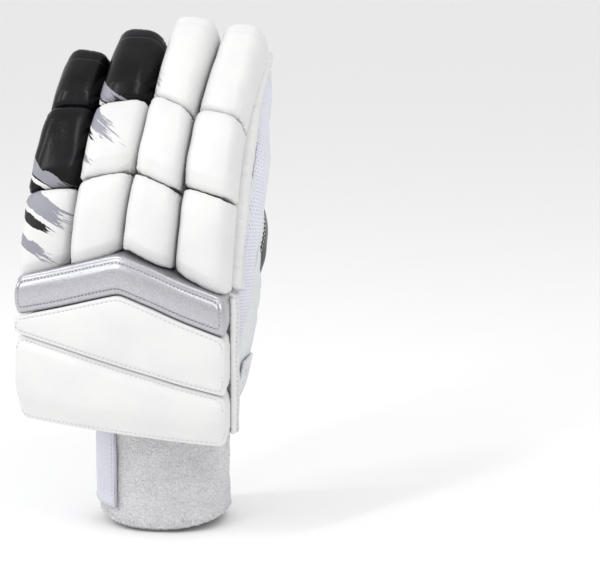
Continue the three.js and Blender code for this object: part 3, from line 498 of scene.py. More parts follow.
class Looks:
    def __init__(self, name):
        self.material = bpy.data.materials.new(name)
        self.material.use_nodes = True
        self.tree = self.material.node_tree
        self.shader = self.tree.nodes["Principled BSDF"]

    def add(self, kind, settings=None, values=None):
        return grow(self.tree, kind, settings, values)

    def inMillimetres(self, place):
        values = {"Vector": place, "Scale": 1000.0}
        return self.add("ShaderNodeVectorMath", {"operation": "SCALE"}, values).outputs[0]

    def place(self):
        return self.inMillimetres(self.add("ShaderNodeTexCoord").outputs["Object"])

    def uv(self):
        return self.inMillimetres(self.add("ShaderNodeUVMap", {"uv_map": "UVMap"}).outputs[0])

    def parts(self, vector):
        node = self.add("ShaderNodeSeparateXYZ", {}, {0: vector})
        return [Field(self, out) for out in node.outputs]

    def vector(self, x, y, z=0.0):
        return self.add("ShaderNodeCombineXYZ", {}, {0: x, 1: y, 2: z}).outputs[0]

    def noise(self, vector, size, detail=3.0, roughness=0.55, distortion=0.0):
        node = self.add("ShaderNodeTexNoise", {}, {
            "Vector": vector, "Scale": 1 / size, "Detail": detail,
            "Roughness": roughness, "Distortion": distortion})
        return Field(self, node.outputs[0])

    def cells(self, vector, size):
        node = self.add("ShaderNodeTexVoronoi", {}, {"Vector": vector, "Scale": 1 / size})
        return Field(self, node.outputs["Distance"])

    def mix(self, factor, a, b):
        return self.add("ShaderNodeMix", {"data_type": "RGBA"}, {0: factor, 6: a, 7: b}).outputs[2]

    def bump(self, height, distance, strength=1.0):
        node = self.add("ShaderNodeBump", {}, {"Height": height, "Strength": strength, "Distance": distance / 1000})
        feed(self.tree, self.shader.inputs["Normal"], node.outputs[0])

    def set(self, **values):
        for key, value in values.items():
            feed(self.tree, self.shader.inputs[key.replace("_", " ")], value)
        return self


# Coated or plain leather: grain in cells, soft wrinkles and a colour that wanders a little
def leather(name, colour, dark, roughness, grain=1.1, depth=0.06, wander=24, wrinkle=7, wrinkleDepth=0.1, **extra):
    looks = Looks(name)
    place = looks.place()
    cloud = looks.noise(place, wander, 4)
    cells = looks.cells(place, grain)
    fine = looks.noise(place, grain * 0.5, 2)
    folds = looks.noise(place, wrinkle, 3, 0.6, 0.6)
    looks.set(**{"Base Color": looks.mix(cloud.ramp(0.35, 0.75), colour, dark),
                 "Roughness": cloud * 0.08 + fine * 0.08 + (roughness - 0.08)}, **extra)
    looks.bump(cells * depth + fine * (depth * 0.7) + folds * wrinkleDepth, 1.0, 0.8)
    return looks


whiteTone, whiteShade = (0.7, 0.697, 0.692), (0.662, 0.661, 0.667)
blackTone, blackShade = (0.002, 0.002, 0.0025), (0.009, 0.009, 0.011)
greyTone = (0.27, 0.27, 0.31)


def terry(name):
    looks = Looks(name)
    place = looks.place()
    fluff = looks.noise(place, 1.1, 3, 0.7)
    cloud = looks.noise(place, 14, 3)
    shade = (fluff + cloud * 0.3).ramp(0.4, 0.85)
    looks.set(**{"Base Color": looks.mix(shade, (0.72, 0.72, 0.73), (0.53, 0.53, 0.545)),
                 "Roughness": cloud * 0.05 + 0.92, "Sheen_Weight": 0.3, "Sheen_Roughness": 0.6})
    looks.bump(fluff * 0.25, 1.0, 0.8)
    return looks.material


# Knit with rows of small holes, and fine ribs between them
def dottedKnit(name, colour, holeShadeAndDarkTone, pitch=1.9, size=0.2):
    looks = Looks(name)
    u, v, _ = looks.parts(looks.uv())
    row = (v / pitch).floor()
    shifted = (u / pitch + row * 0.5)
    dx, dy = shifted.fraction() - 0.5, (v / pitch).fraction() - 0.5
    distance = (dx * dx + dy * dy).root()
    pit = 1 - distance.ramp(size * 0.6, size * 1.5)
    rib = (u * (2 * math.pi / 0.8)).sine() * 0.5 + 0.5
    cloud = looks.noise(looks.place(), 9, 3)
    # Painted shade: the holes take the darker colour, which also tints the ribs and clouds as the knit's own darker
    # tone.
    looks.set(**{"Base Color": looks.mix(pit * 0.75, looks.mix(rib * 0.35 + cloud * 0.3, colour, holeShadeAndDarkTone), holeShadeAndDarkTone),
                 "Roughness": cloud * 0.1 + 0.78, "Sheen_Weight": 0.3})
    looks.bump((1 - pit) * 0.35 + rib * 0.06, 1.0, 0.8)
    return looks.material


def crinkledSilver(name):
    looks = Looks(name)
    place = looks.place()
    cloud = looks.noise(place, 16, 4, 0.6)
    crinkle = looks.noise(place, 0.9, 4, 0.65, 0.5)
    grain = looks.cells(place, 0.8)
    # The silver is lighter where the crinkle stands up: painted highlight on the raised crinkles.
    looks.set(**{"Base Color": looks.mix(crinkle.ramp(0.3, 0.7), (0.42, 0.42, 0.45), (0.53, 0.53, 0.565)),
                 "Roughness": crinkle * 0.08 + cloud * 0.06 + 0.29, "Metallic": cloud * 0.06 + 0.8})
    looks.bump(crinkle * 0.05 + grain * 0.03, 1.0, 0.8)
    return looks.material


def thread(name, colour):
    looks = Looks(name)
    twist = looks.noise(looks.place(), 0.4, 2)
    looks.set(**{"Base Color": looks.mix(twist, colour, tuple(c * 0.75 for c in colour)),
                 "Roughness": twist * 0.1 + 0.6})
    return looks.material


leathers = {
    "white_leather": {"colour": whiteTone, "dark": whiteShade, "roughness": 0.42},
    "palm_leather": {"colour": (0.66, 0.685, 0.695), "dark": (0.6, 0.63, 0.64), "roughness": 0.62, "grain": 1.4,
                     "depth": 0.08, "wander": 18, "wrinkle": 5, "wrinkleDepth": 0.3},
    "black_leather": {"colour": blackTone, "dark": blackShade, "roughness": 0.29, "grain": 1.2,
                      "depth": 0.04, "wrinkle": 6, "wrinkleDepth": 0.2, "Specular_IOR_Level": 0.2},
    "grey_leather": {"colour": (0.5, 0.535, 0.54), "dark": (0.44, 0.47, 0.475), "roughness": 0.7, "grain": 1.0,
                     "wander": 12, "wrinkle": 4, "wrinkleDepth": 0.15},
    "strap_leather": {"colour": (0.62, 0.62, 0.7), "dark": (0.55, 0.55, 0.62), "roughness": 0.5, "grain": 1.0,
                      "wander": 20, "wrinkle": 8, "wrinkleDepth": 0.12},
}
# The finish of every slot
finishes = {slot: leather(slot.replace("_", " "), **look).material for slot, look in leathers.items()}
finishes["silver_leather"] = crinkledSilver("silver leather")
finishes["towelling"] = terry("towelling")
# The side knit's darker colour is painted shade in its holes and its own darker tone on the ribs.
finishes["knit"] = dottedKnit("side knit", (0.77, 0.77, 0.84), (0.5, 0.5, 0.6))
ventCloth = leather("vent cloth", (0.7, 0.71, 0.735), (0.6, 0.61, 0.64), roughness=0.85, grain=0.8, depth=0.1,
                    wander=9, wrinkle=3, wrinkleDepth=0.1).material
paleThread = thread("pale thread", (0.62, 0.62, 0.66))
blueThread = thread("blue grey thread", (0.33, 0.38, 0.44))
darkThread = thread("dark thread", (0.25, 0.25, 0.29))
whiteThread = thread("white thread", (0.85, 0.85, 0.85))
print("materials made")


# Hands a finished mesh over: the model's node it stands for and its slot. The fill of a padded piece is not used.
def settle(mesh, node=None, slotName=None, fill=None, material=None):
    ob = mesh if isinstance(mesh, bpy.types.Object) else link(mesh.name, mesh)
    ob.data.materials.clear()
    ob.data.materials.append(material or finishes[slotName])
    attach(ob, "root")
    if node:
        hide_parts(node)
    return ob


# Geometry Nodes

# A tree with one geometry in, named inputs and one geometry out
def startTree(name, inputs):
    tree = bpy.data.node_groups.new(name, "GeometryNodeTree")
    tree.interface.new_socket("Geometry", in_out="INPUT", socket_type="NodeSocketGeometry")
    sockets = {key: tree.interface.new_socket(key, in_out="INPUT", socket_type=kind).identifier
               for key, kind in inputs.items()}
    tree.interface.new_socket("Geometry", in_out="OUTPUT", socket_type="NodeSocketGeometry")
    return tree, sockets, tree.nodes.new("NodeGroupInput").outputs


def endTree(tree, geometry, material):
    whole = grow(tree, "GeometryNodeRealizeInstances", {}, {"Geometry": geometry}).outputs[0]
    smooth = grow(tree, "GeometryNodeSetShadeSmooth", {}, {"Geometry": whole}).outputs[0]
    dressed = grow(tree, "GeometryNodeSetMaterial", {}, {"Geometry": smooth, "Material": material}).outputs[0]
    tree.links.new(dressed, tree.nodes.new("NodeGroupOutput").inputs[0])


# A short thread on every pitch of a line, along it and upright on the surface
def makeStitchTree():
    tree, sockets, start = startTree("stitches on a line", {
        "Pitch": "NodeSocketFloat", "Length": "NodeSocketFloat", "Thickness": "NodeSocketFloat",
        "Thread": "NodeSocketMaterial"})
    line = grow(tree, "GeometryNodeMeshToCurve", {}, {"Mesh": start["Geometry"]}).outputs[0]
    even = grow(tree, "GeometryNodeResampleCurve", {"mode": "LENGTH"}, {
        "Curve": line, "Length": start["Pitch"]}).outputs[0]
    tangent = tree.nodes.new("GeometryNodeInputTangent").outputs[0]
    upright = grow(tree, "GeometryNodeInputNamedAttribute", {"data_type": "FLOAT_VECTOR"}, {
        "Name": "upright"}).outputs[0]
    onward = grow(tree, "FunctionNodeAlignRotationToVector", {"axis": "X"}, {"Vector": tangent}).outputs[0]
    turned = grow(tree, "FunctionNodeAlignRotationToVector", {"axis": "Z", "pivot_axis": "X"},
                  {"Rotation": onward, "Vector": upright}).outputs[0]
    bead = grow(tree, "GeometryNodeMeshUVSphere", {}, {"Segments": 6, "Rings": 4, "Radius": 0.5}).outputs[0]
    size = grow(tree, "ShaderNodeCombineXYZ", {}, {
        "X": start["Length"], "Y": start["Thickness"], "Z": start["Thickness"]}).outputs[0]
    placed = grow(tree, "GeometryNodeInstanceOnPoints", {}, {
        "Points": even, "Instance": bead, "Rotation": turned, "Scale": size}).outputs[0]
    endTree(tree, placed, start["Thread"])
    return tree, sockets


# Nubs strewn over a cloth, thickest where its fluff attribute is 1
def makeTerryTree():
    tree, sockets, start = startTree("towelling loops", {
        "Distance": "NodeSocketFloat", "Nub": "NodeSocketFloat", "Stand": "NodeSocketFloat",
        "Seed": "NodeSocketInt", "Towelling": "NodeSocketMaterial"})
    fluff = grow(tree, "GeometryNodeInputNamedAttribute", {"data_type": "FLOAT"}, {"Name": "fluff"}).outputs[0]
    strewn = grow(tree, "GeometryNodeDistributePointsOnFaces", {"distribute_method": "POISSON"}, {
        "Mesh": start["Geometry"], "Distance Min": start["Distance"], "Density Max": 2.0e6, "Density Factor": fluff,
        "Seed": start["Seed"]})
    loop = grow(tree, "GeometryNodeMeshIcoSphere", {}, {"Radius": 0.5, "Subdivisions": 1}).outputs[0]
    shape = grow(tree, "ShaderNodeCombineXYZ", {}, {
        "X": start["Nub"], "Y": start["Nub"], "Z": start["Stand"]}).outputs[0]
    vary = grow(tree, "FunctionNodeRandomValue", {"data_type": "FLOAT_VECTOR"}, {
        0: (0.7, 0.7, 0.6), 1: (1.25, 1.25, 1.4), "Seed": start["Seed"]}).outputs[0]
    size = grow(tree, "ShaderNodeVectorMath", {"operation": "MULTIPLY"}, {0: shape, 1: vary}).outputs[0]
    tilt = grow(tree, "FunctionNodeRandomValue", {"data_type": "FLOAT_VECTOR"}, {
        0: (-0.5, -0.5, -3.0), 1: (0.5, 0.5, 3.0), "Seed": start["Seed"]}).outputs[0]
    turned = grow(tree, "FunctionNodeRotateRotation", {"rotation_space": "LOCAL"}, {
        0: strewn.outputs["Rotation"], 1: tilt}).outputs[0]
    placed = grow(tree, "GeometryNodeInstanceOnPoints", {}, {
        "Points": strewn.outputs["Points"], "Instance": loop, "Rotation": turned, "Scale": size}).outputs[0]
    endTree(tree, placed, start["Towelling"])
    return tree, sockets


stitchTree = makeStitchTree()
terryTree = makeTerryTree()


# Keeps the plain mesh that an object's modifiers make, and drops the modifiers
def plain(ob):
    mesh = bpy.data.meshes.new_from_object(ob.evaluated_get(bpy.context.evaluated_depsgraph_get()))
    ob.modifiers.clear()
    ob.data = mesh
    return ob


def grown(ob, treeAndSockets, values):
    tree, sockets = treeAndSockets
    modifier = ob.modifiers.new("made by nodes", "NODES")
    modifier.node_group = tree
    for key, value in values.items():
        modifier[sockets[key]] = value
    return plain(ob)


fine = {"Pitch": 2.6, "Length": 1.7, "Thickness": 0.5}
stitchLift = 0.1
farOff = 120  # where lines start that are dropped on a piece


def sew(name, lines, size, material):
    vertices, edges, upright = [], [], []
    for points, normals in lines:
        if len(points) < 5:
            continue
        first = len(vertices)
        vertices += (np.asarray(points) / 1000).tolist()
        upright += np.asarray(normals).tolist()
        edges += [(first + i, first + i + 1) for i in range(len(points) - 1)]
    mesh = bpy.data.meshes.new(name)
    mesh.from_pydata(vertices, edges, [])
    mesh.attributes.new("upright", "FLOAT_VECTOR", "POINT").data.foreach_set("vector", np.ravel(upright))
    values = {key: value / 1000 for key, value in size.items()}
    ob = grown(link(name, mesh), stitchTree, {**values, "Thread": material})
    settle(ob, material=material)


# Where lines of points meet a piece when they are dropped on it along a direction
def castOn(ob, starts, directions):
    directions = np.broadcast_to(directions, np.shape(starts))
    mesh = ob.data
    corners = pointsOf(mesh.vertices, "co").tolist()
    surface = BVHTree.FromPolygons(corners, [list(face.vertices) for face in mesh.polygons])
    points, normals = [], []
    for start, direction in zip(starts, directions):
        hit, normal, _, _ = surface.ray_cast(Vector(start) / 1000, Vector(direction))
        if hit is not None:
            normal = normal if normal.dot(Vector(direction)) < 0 else -normal
            points.append(np.array(hit) * 1000 + np.array(normal) * stitchLift)
            normals.append(np.array(normal))
    return np.array(points), np.array(normals)


# Padded rolls

spines = {finger["name"]: FingerSpine(finger) for finger in fingers}
thumb = ThumbSpine()
# How a pad ends: rounding in height, rounding of its corners, and a soft slope before it
seamEnd = {"rounding": 2.5, "corner": 1.9, "soft": 0.9, "softReach": 4.5, "bulge": 0.0}
noseEnd = {"rounding": 3.4, "corner": 3.0, "soft": 1.4, "softReach": 9, "bulge": 0.8}


def roundDrop(distance, radius):
    return radius * (1 - np.sqrt(1 - clamp(1 - distance / radius) ** 2))


# 0 above 0, rising with a soft bend below it
def hinge(value, softness=0.05):
    return 0.5 * (value + np.sqrt(value ** 2 + softness ** 2))


# Rings of a crowned pad: flat below, round above and drawn in at its ends
def padRings(place, length, halfWidth, base, look, startEnd, stopEnd):
    even = np.linspace(0, 1, look["along"])
    share = lerp(even, 0.5 - 0.5 * np.cos(math.pi * even), 0.8)
    fromStart, fromStop = share * length, (1 - share) * length
    drop, slim = 0, 0
    for distance, end in ((fromStart, startEnd), (fromStop, stopEnd)):
        drop = drop + roundDrop(distance, end["rounding"]) + end["soft"] * np.exp(-distance / end["softReach"])
        slim = slim + roundDrop(distance, end["corner"])
    fold = look["facet"] * hinge(1 - share / look["crease"], 0.05)
    fold = fold + look["shoulder"] * hinge(1 - fromStop / look["shoulderReach"], 0.2)
    rise = (look["height"] - look["crown"] - drop)[:, None]
    half = (1 - slim / halfWidth)[:, None]
    crownX, crownY = evenOutline(look["round"], look["squareness"], look["height"] / halfWidth, half=True)
    top = smoothstep(crownY, 0.5, 0.97)[None, :]
    across = half * crownX[None, :]
    up = base + rise * (0.1 + 0.9 * crownY[None, :]) - fold[:, None] * top
    up = up + look["crown"] * (1 - np.abs(crownX[None, :]) ** 2.4) * smoothstep(crownY, 0.3, 0.9)[None, :]
    if look["rim"]:
        rim = bell(fromStop, look["rimAt"], 0.45) + 0.5 * smoothstep(fromStop, look["rimAt"], look["rimAt"] - 1)
        up = up - look["rim"] * rim[:, None] * smoothstep(crownY, 0.05, 0.4)[None, :]
    under = np.linspace(-0.94, 0.94, look["base"])
    across = np.concatenate([across, half * under[None, :]], 1)
    up = np.concatenate([up, np.full((len(share), look["base"]), base)], 1)
    points = place(share[:, None], across, up)
    normals = outwardNormals(points)
    crown = np.concatenate([smoothstep(crownY, 0.02, 0.3), np.zeros(look["base"])])[None, :]
    nearEnd = np.minimum(fromStart, fromStop)[:, None]
    edge = np.concatenate([np.abs(crownX), np.ones(look["base"])])[None, :]
    seed = look["seed"]
    waves = ripples(points, 17, seed) * look["waves"]
    gathers = ripples(points, 3.0, seed + 1, stretch=(1, 4, 4)) * look["gathers"] * np.exp(-nearEnd / 2.6)
    corner = bell(nearEnd, 0, 4.2) * smoothstep(edge, 0.5, 0.95)
    puckers = ripples(points, 2.6, seed + 2) * look["gathers"] * corner * 1.8 - look["pinch"] * corner
    # Pleats run back from a gathered stop end.
    fan = np.abs(np.sin(edge * 9 + ripples(points, 9, seed + 5) * 0.8)) * np.exp(-fromStop[:, None] / 4.5)
    gathers = gathers - fan * look["pleats"]
    side = np.concatenate([bell(crownY, 0, 0.16), np.zeros(look["base"])])[None, :]
    side = ripples(points, 3.0, seed + 3, stretch=(8, 1, 1)) * look["gathers"] * side * 1.4
    points = points + normals * ((waves + gathers + puckers + side) * crown)[..., None]
    forward = unit(points[-1].mean(0) - points[-3].mean(0))
    backward = unit(points[0].mean(0) - points[2].mean(0))
    stopRings, stopPole = closeEnd(points[-1], forward, stopEnd["bulge"])
    startRings, startPole = closeEnd(points[0], backward, startEnd["bulge"])
    return np.concatenate([startRings[::-1], points, stopRings]), (startPole, stopPole)


rollLook = {"along": 92, "round": 70, "base": 9, "height": rollSize["height"], "squareness": 4.4, "crease": 0.2,
            "facet": 2.3, "shoulder": 1.1, "shoulderReach": 5.5, "crown": 1.4, "waves": 0.16, "gathers": 0.13,
            "pinch": 0.45, "pleats": 0, "gap": 0.55, "rim": 0, "rimAt": 6.5, "short": 0.022}


def makeRoll(spine, part, look, seed):
    finger = spine.finger
    halfGap = look["gap"] / 2 / spine.length
    spans = {"knuckle": (None, finger["first"] - halfGap, 1, 1),
             "middle": (finger["first"] + halfGap, finger["second"] - halfGap, 1, 1),
             "tip": (finger["second"] + halfGap, finger["end"] - look["short"], 1, 0)}
    low, high, slantLow, slantHigh = spans[part]
    tip = part == "tip"

    def place(share, across, up):
        share = np.broadcast_to(share, across.shape)
        slant = finger["slant"] * across * hand["width"] / 8 / spine.length
        start = spine.rootAt(across, up, look["gap"] + 0.1) if low is None else low + slantLow * slant
        stop = high + slantHigh * slant
        return spine.between(lerp(start, stop, share), across, up, look["gap"] / 2)

    from_ = 0.05 if low is None else low
    own = {**look, "seed": seed, "rim": 0.5 if tip else 0, "squareness": 3.2 if tip else look["squareness"],
           "shoulder": 0 if tip else look["shoulder"]}
    rings, poles = padRings(place, (high - from_) * spine.length, hand["width"] / 8, spineToBack, own,
                            seamEnd, noseEnd if tip else seamEnd)
    return closedGrid(f"roll_{finger['name']}_{part}_padded", rings, poles)


# Dry brush strokes laid slantwise over some rolls: where each lies over the slant, how wide it is, and between
# which places along it the paint runs out
strokes = {"angle": -33, "hair": 0.9, "run": 15, "fray": 2.4}
brushed = {
    "roll_little_middle": {"base": "black", "bands": [
        {"over": 131, "half": 3.0, "tone": "grey", "wet": -160, "dry": -118},
        {"over": 126, "half": 1.2, "tone": "white", "wet": -160, "dry": -120}]},
    "roll_ring_tip": {"base": "black", "bands": [
        {"over": 183, "half": 3.4, "tone": "grey", "wet": -162, "dry": -116},
        {"over": 177, "half": 1.4, "tone": "white", "wet": -160, "dry": -122}]},
    "roll_ring_middle": {"base": "white", "bands": [
        {"over": 171, "half": 4.6, "tone": "grey", "wet": -160, "dry": -112},
        {"over": 163, "half": 1.6, "tone": "black", "wet": -158, "dry": -124},
        {"over": 152, "half": 2.2, "tone": "grey", "wet": -146, "dry": -122}]},
    "roll_little_knuckle": {"base": "white", "bands": [
        {"over": 118, "half": 4.6, "tone": "grey", "wet": -150, "dry": -112},
        {"over": 109, "half": 2.0, "tone": "black", "wet": -146, "dry": -120},
        {"over": 97, "half": 3.0, "tone": "grey", "wet": -140, "dry": -112}]},
    "roll_middle_tip": {"base": "white", "bands": [
        {"over": 206, "half": 3.6, "tone": "grey", "wet": -150, "dry": -112},
        {"over": 199, "half": 1.3, "tone": "black", "wet": -142, "dry": -116}]},
}
tones = {"white": whiteTone, "grey": greyTone, "black": blackTone}
bases = {"black": {"colour": blackTone, "dark": blackShade, "roughness": 0.29, "depth": 0.04, "wrinkleDepth": 0.15,
                   "Specular_IOR_Level": 0.2},
         "white": {"colour": whiteTone, "dark": whiteShade, "roughness": 0.42, "Specular_IOR_Level": 0.4}}


def brushedLeather(node, design, seed):
    looks = leather(node + " leather", grain=1.2, **bases[design["base"]])
    colour = looks.shader.inputs["Base Color"].links[0].from_socket
    x, y, z = looks.parts(looks.place())
    turn = math.radians(strokes["angle"])
    run = x * math.cos(turn) + z * math.sin(turn)
    over = z * math.cos(turn) - x * math.sin(turn)
    hair = looks.noise(looks.vector(run / strokes["run"] + seed, over / strokes["hair"], y / 40), 1.0, 4, 0.68)
    fray = looks.noise(looks.vector(run / 9 + seed, over / 6, y / 30), 1.0, 3, 0.6)
    for band in design["bands"]:
        away = (over - band["over"] + (fray - 0.5) * strokes["fray"] * 2).absolute()
        inside = 1 - away.ramp(band["half"] - 0.15, band["half"] + 0.15)
        dried = run.ramp(band["wet"], band["dry"], 0.24, 0.72)
        cover = inside * (hair - dried).ramp(-0.012, 0.012)
        colour = looks.mix(cover, colour, tones[band["tone"]])
    looks.set(**{"Base Color": colour})
    return looks.material


seed = 10
for finger in fingers:
    for part in ("knuckle", "middle", "tip"):
        seed += 7
        mesh = makeRoll(spines[finger["name"]], part, rollLook, seed)
        node = f"roll_{finger['name']}_{part}"
        black = node in ("roll_little_tip", "roll_little_middle", "roll_ring_tip")
        skin = brushedLeather(node, brushed[node], seed * 0.37) if node in brushed else None
        settle(mesh, node, "black_leather" if black else "white_leather", 0.9, skin)
print("rolls made")


# Bar and cuff, padded plates over the arched back of the hand

# The ends flare outwards as they rise from the hand, less on the little finger's side
def flareAt(t, look):
    return look["flare"] * np.where(t > 0, 1, look["littleFlare"]) * np.sign(t) * smoothstep(np.abs(t), 0.5, 1)


def plateRings(low, high, look):
    even = np.linspace(-1, 1, look["across"])
    t = np.sin(even * math.pi / 2) * 0.6 + even * 0.4
    x = hand["shift"] + t * cuff["width"] / 2
    fromEnd = (1 - np.abs(t)) * cuff["width"] / 2
    drop = np.minimum(roundDrop(fromEnd, look["corner"]), 0.3 * (high(t) - low(t)))
    bottom, top = low(t) + drop, high(t) - drop
    deep = look["thickness"] - look["endBevel"] * hinge(1 - fromEnd / look["endReach"], 0.2)
    deep = deep - roundDrop(fromEnd, look["endRounding"])
    span = top - bottom
    topEdge, bottomEdge = np.minimum(look["topEdge"], span * 0.2), np.minimum(look["bottomEdge"], span * 0.2)
    turn = np.linspace(0, math.pi / 2, 9)
    wall = np.linspace(0, 1, 8)[:-1]
    outs, heights, faceShare = [], [], []

    def add(out, z, share):
        outs.append(out)
        heights.append(z)
        faceShare.append(share)

    def face(z):
        over = look["bevel"] * hinge(1 - (top - z) / look["bevelReach"], 0.25)
        under = look["tuck"] * hinge(1 - (z - bottom) / look["tuckReach"], 0.25)
        bulge = look["crown"] * (1 - (2 * (z - bottom) / span - 1) ** 2)
        return deep - over - under + bulge

    topFace, bottomFace = face(top - topEdge), face(bottom + bottomEdge)
    for k in np.linspace(0, 1, 5)[:-1]:
        add(0 * deep, lerp(bottom, top, k), 0)
    for k in wall:
        add((topFace - topEdge) * k, top, 0)
    for angle in turn:
        add(topFace - topEdge + topEdge * math.sin(angle), top - topEdge + topEdge * math.cos(angle),
            math.sin(angle))
    for k in np.linspace(0, 1, look["face"] + 2)[1:-1]:
        z = lerp(top - topEdge, bottom + bottomEdge, k)
        add(face(z), z, 1)
    for angle in turn:
        add(bottomFace - bottomEdge + bottomEdge * math.cos(angle),
            bottom + bottomEdge - bottomEdge * math.sin(angle), math.cos(angle))
    for k in wall[::-1]:
        add((bottomFace - bottomEdge) * k, bottom, 0)
    out, z = np.stack(outs, 1), np.stack(heights, 1)
    away = np.stack([np.minimum(archSlope(x), 0), -np.ones_like(x), np.zeros_like(x)], -1)
    away = unit(away)[:, None, :]
    foot = np.stack([x, backY + archAt(x), np.zeros_like(x)], -1)[:, None, :]
    points = foot + away * (look["inner"] + out)[..., None]
    points[..., 0] += flareAt(t, look)[:, None] * (out / look["thickness"]) ** 2
    points[..., 2] = z
    return points, t, np.array(faceShare, float)


barLook = {"across": 210, "face": 44, "inner": cuff["panel"] + gap, "thickness": cuff["thickness"] - 0.8,
           "corner": 3.2, "flare": 3.6, "littleFlare": 0.6, "endBevel": 2.2, "endReach": 4.5, "endRounding": 2.4,
           "topEdge": 1.8, "bottomEdge": 3.0, "bevel": 3.0, "bevelReach": 6.2, "tuck": 2.2, "tuckReach": 5,
           "crown": 0.8, "seam": 3.4, "seamDepth": 0.35, "waves": 0.2}
upperLook = {**barLook, "corner": 3.6, "endBevel": 0.8, "endRounding": 2.6, "bottomEdge": 1.8, "bevel": 0.8,
             "tuck": 0.5, "tuckReach": 3, "crown": 1.1, "seam": 2.2, "seamDepth": 0.3, "waves": 0.3}
lowerLook = {**upperLook, "corner": 5.0, "bevel": 2.6, "bevelReach": 6, "tuck": 4.0, "tuckReach": 14,
             "bottomEdge": 3.0}


def makePlate(name, low, high, look, seed):
    points, t, onFace = plateRings(low, high, look)
    normals = outwardNormals(points)
    # How far a place on the front lies from the plate's nearest edge
    z = points[..., 2]
    fromEdge = np.minimum(high(t)[:, None] - z, z - low(t)[:, None])
    fromEnd = ((1 - np.abs(t)) * cuff["width"] / 2)[:, None]
    front = onFace[None, :] ** 2
    inward = np.minimum(fromEdge, fromEnd)
    seam = bell(inward, look["seam"], 0.55) * look["seamDepth"] * front
    waves = ripples(points, 28, seed) * look["waves"] * front
    points = points + normals * (waves - seam)[..., None]
    first, firstPole = closeEnd(points[0], np.array([-1.0, 0, 0]), 0.4)
    final, finalPole = closeEnd(points[-1], np.array([1.0, 0, 0]), 0.4)
    return closedGrid(name, np.concatenate([first[::-1], points, final]), (firstPole, finalPole))


def softPeak(edge):
    return lambda t: edge(t) - cuff["peak"] * (np.sqrt(t ** 2 + 0.0016) - np.abs(t))


# A line all round a plate, a little inside its edge
def plateLoop(low, high, look, count=90):
    inset, corner = look["seam"], look["corner"]
    end = 1 - 2 * inset / cuff["width"]
    run = np.linspace(-end, end, count)
    fromEnd = (end - np.abs(run)) * cuff["width"] / 2
    pull = roundDrop(fromEnd, corner)
    t = np.concatenate([run, run[::-1], run[:1]])
    upper, lower = high(run) - inset - pull, low(run) + inset + pull
    z = np.concatenate([upper, lower[::-1], upper[:1]])
    x = hand["shift"] + t * cuff["width"] / 2
    slope = np.minimum(archSlope(x), 0)
    out = look["inner"] + look["thickness"]
    return np.stack([x + flareAt(t, look) + slope / np.sqrt(1 + slope ** 2) * out, 0 * t - farOff, z], -1)


seamGap = 0.5
plates = [
    {"node": "knuckle_bar", "low": softPeak(barBottom), "high": softPeak(barTop), "look": barLook,
     "slot": "silver_leather", "thread": darkThread, "size": {"Pitch": 2.1, "Length": 1.5, "Thickness": 0.5}},
    {"node": "cuff_upper", "low": lambda t: splitAt(t) + seamGap / 2,
     "high": softPeak(lambda t: barBottom(t) - seamGap), "look": upperLook,
     "slot": "white_leather", "thread": paleThread, "size": fine},
    {"node": "cuff_lower", "low": cuffBottom, "high": lambda t: splitAt(t) - seamGap / 2, "look": lowerLook,
     "slot": "white_leather", "thread": paleThread, "size": fine},
]
for i, plate in enumerate(plates):
    name = plate["node"]
    shape = plate["low"], plate["high"], plate["look"]
    ob = settle(makePlate(name + "_padded", *shape, 5 + i), name, plate["slot"], 0.9)
    loop = plateLoop(*shape)
    sew(name + "_stitches", [castOn(ob, loop, (0, 1, 0))], plate["size"], plate["thread"])
print("bar and cuff made")


# Foam strips, the panel that carries the cuff and the binding

def makeStrip(spine, look):
    finger = spine.finger
    base = sleeveSize["depth"] / 2 + 2 * gap
    outX, outY = evenOutline(look["round"], look["squareness"], stripSize["thickness"] / 29)
    share = np.linspace(0, 1, look["along"])[:, None]
    ease = np.minimum(1, 0.7 + (1 - share) * look["along"] / 5)
    across = outX[None, :] * ease
    up = base + stripSize["thickness"] / 2 * (1 + outY[None, :] * np.ones_like(share))
    start = spine.rootAt(across, base, cuff["gap"])
    u = lerp(start, finger["end"] + 0.01, share)
    points = spine.between(u, across, up, rollSize["gap"] / 2)
    points[..., 0] += stripSize["side"] * spine.sideOf(u) * clamp(across)
    normals = outwardNormals(points)
    outer = smoothstep(np.abs(across), 0.6, 1)
    top = smoothstep(outY, 0.3, 0.9)[None, :]
    folds = ripples(points, 3.2, look["seed"], 20, (6, 1, 1)) * look["gathers"] * outer * (0.35 + 0.65 * top)
    points = points + normals * (folds + ripples(points, 18, look["seed"] + 1) * 0.15 * outer)[..., None]
    return closedGrid(f"strip_{finger['name']}_padded", points)


stripLook = {"along": 170, "round": 60, "squareness": 5.0, "gathers": 0.36, "seed": 301}
for finger in fingers:
    mesh = makeStrip(spines[finger["name"]], {**stripLook, "seed": stripLook["seed"] + len(finger["name"]) * 3})
    settle(mesh, f"strip_{finger['name']}", "white_leather", 0.9)

panelLook = {"across": 120, "up": 150, "waves": 0.25, "gathers": 0.16, "round": 3.0}


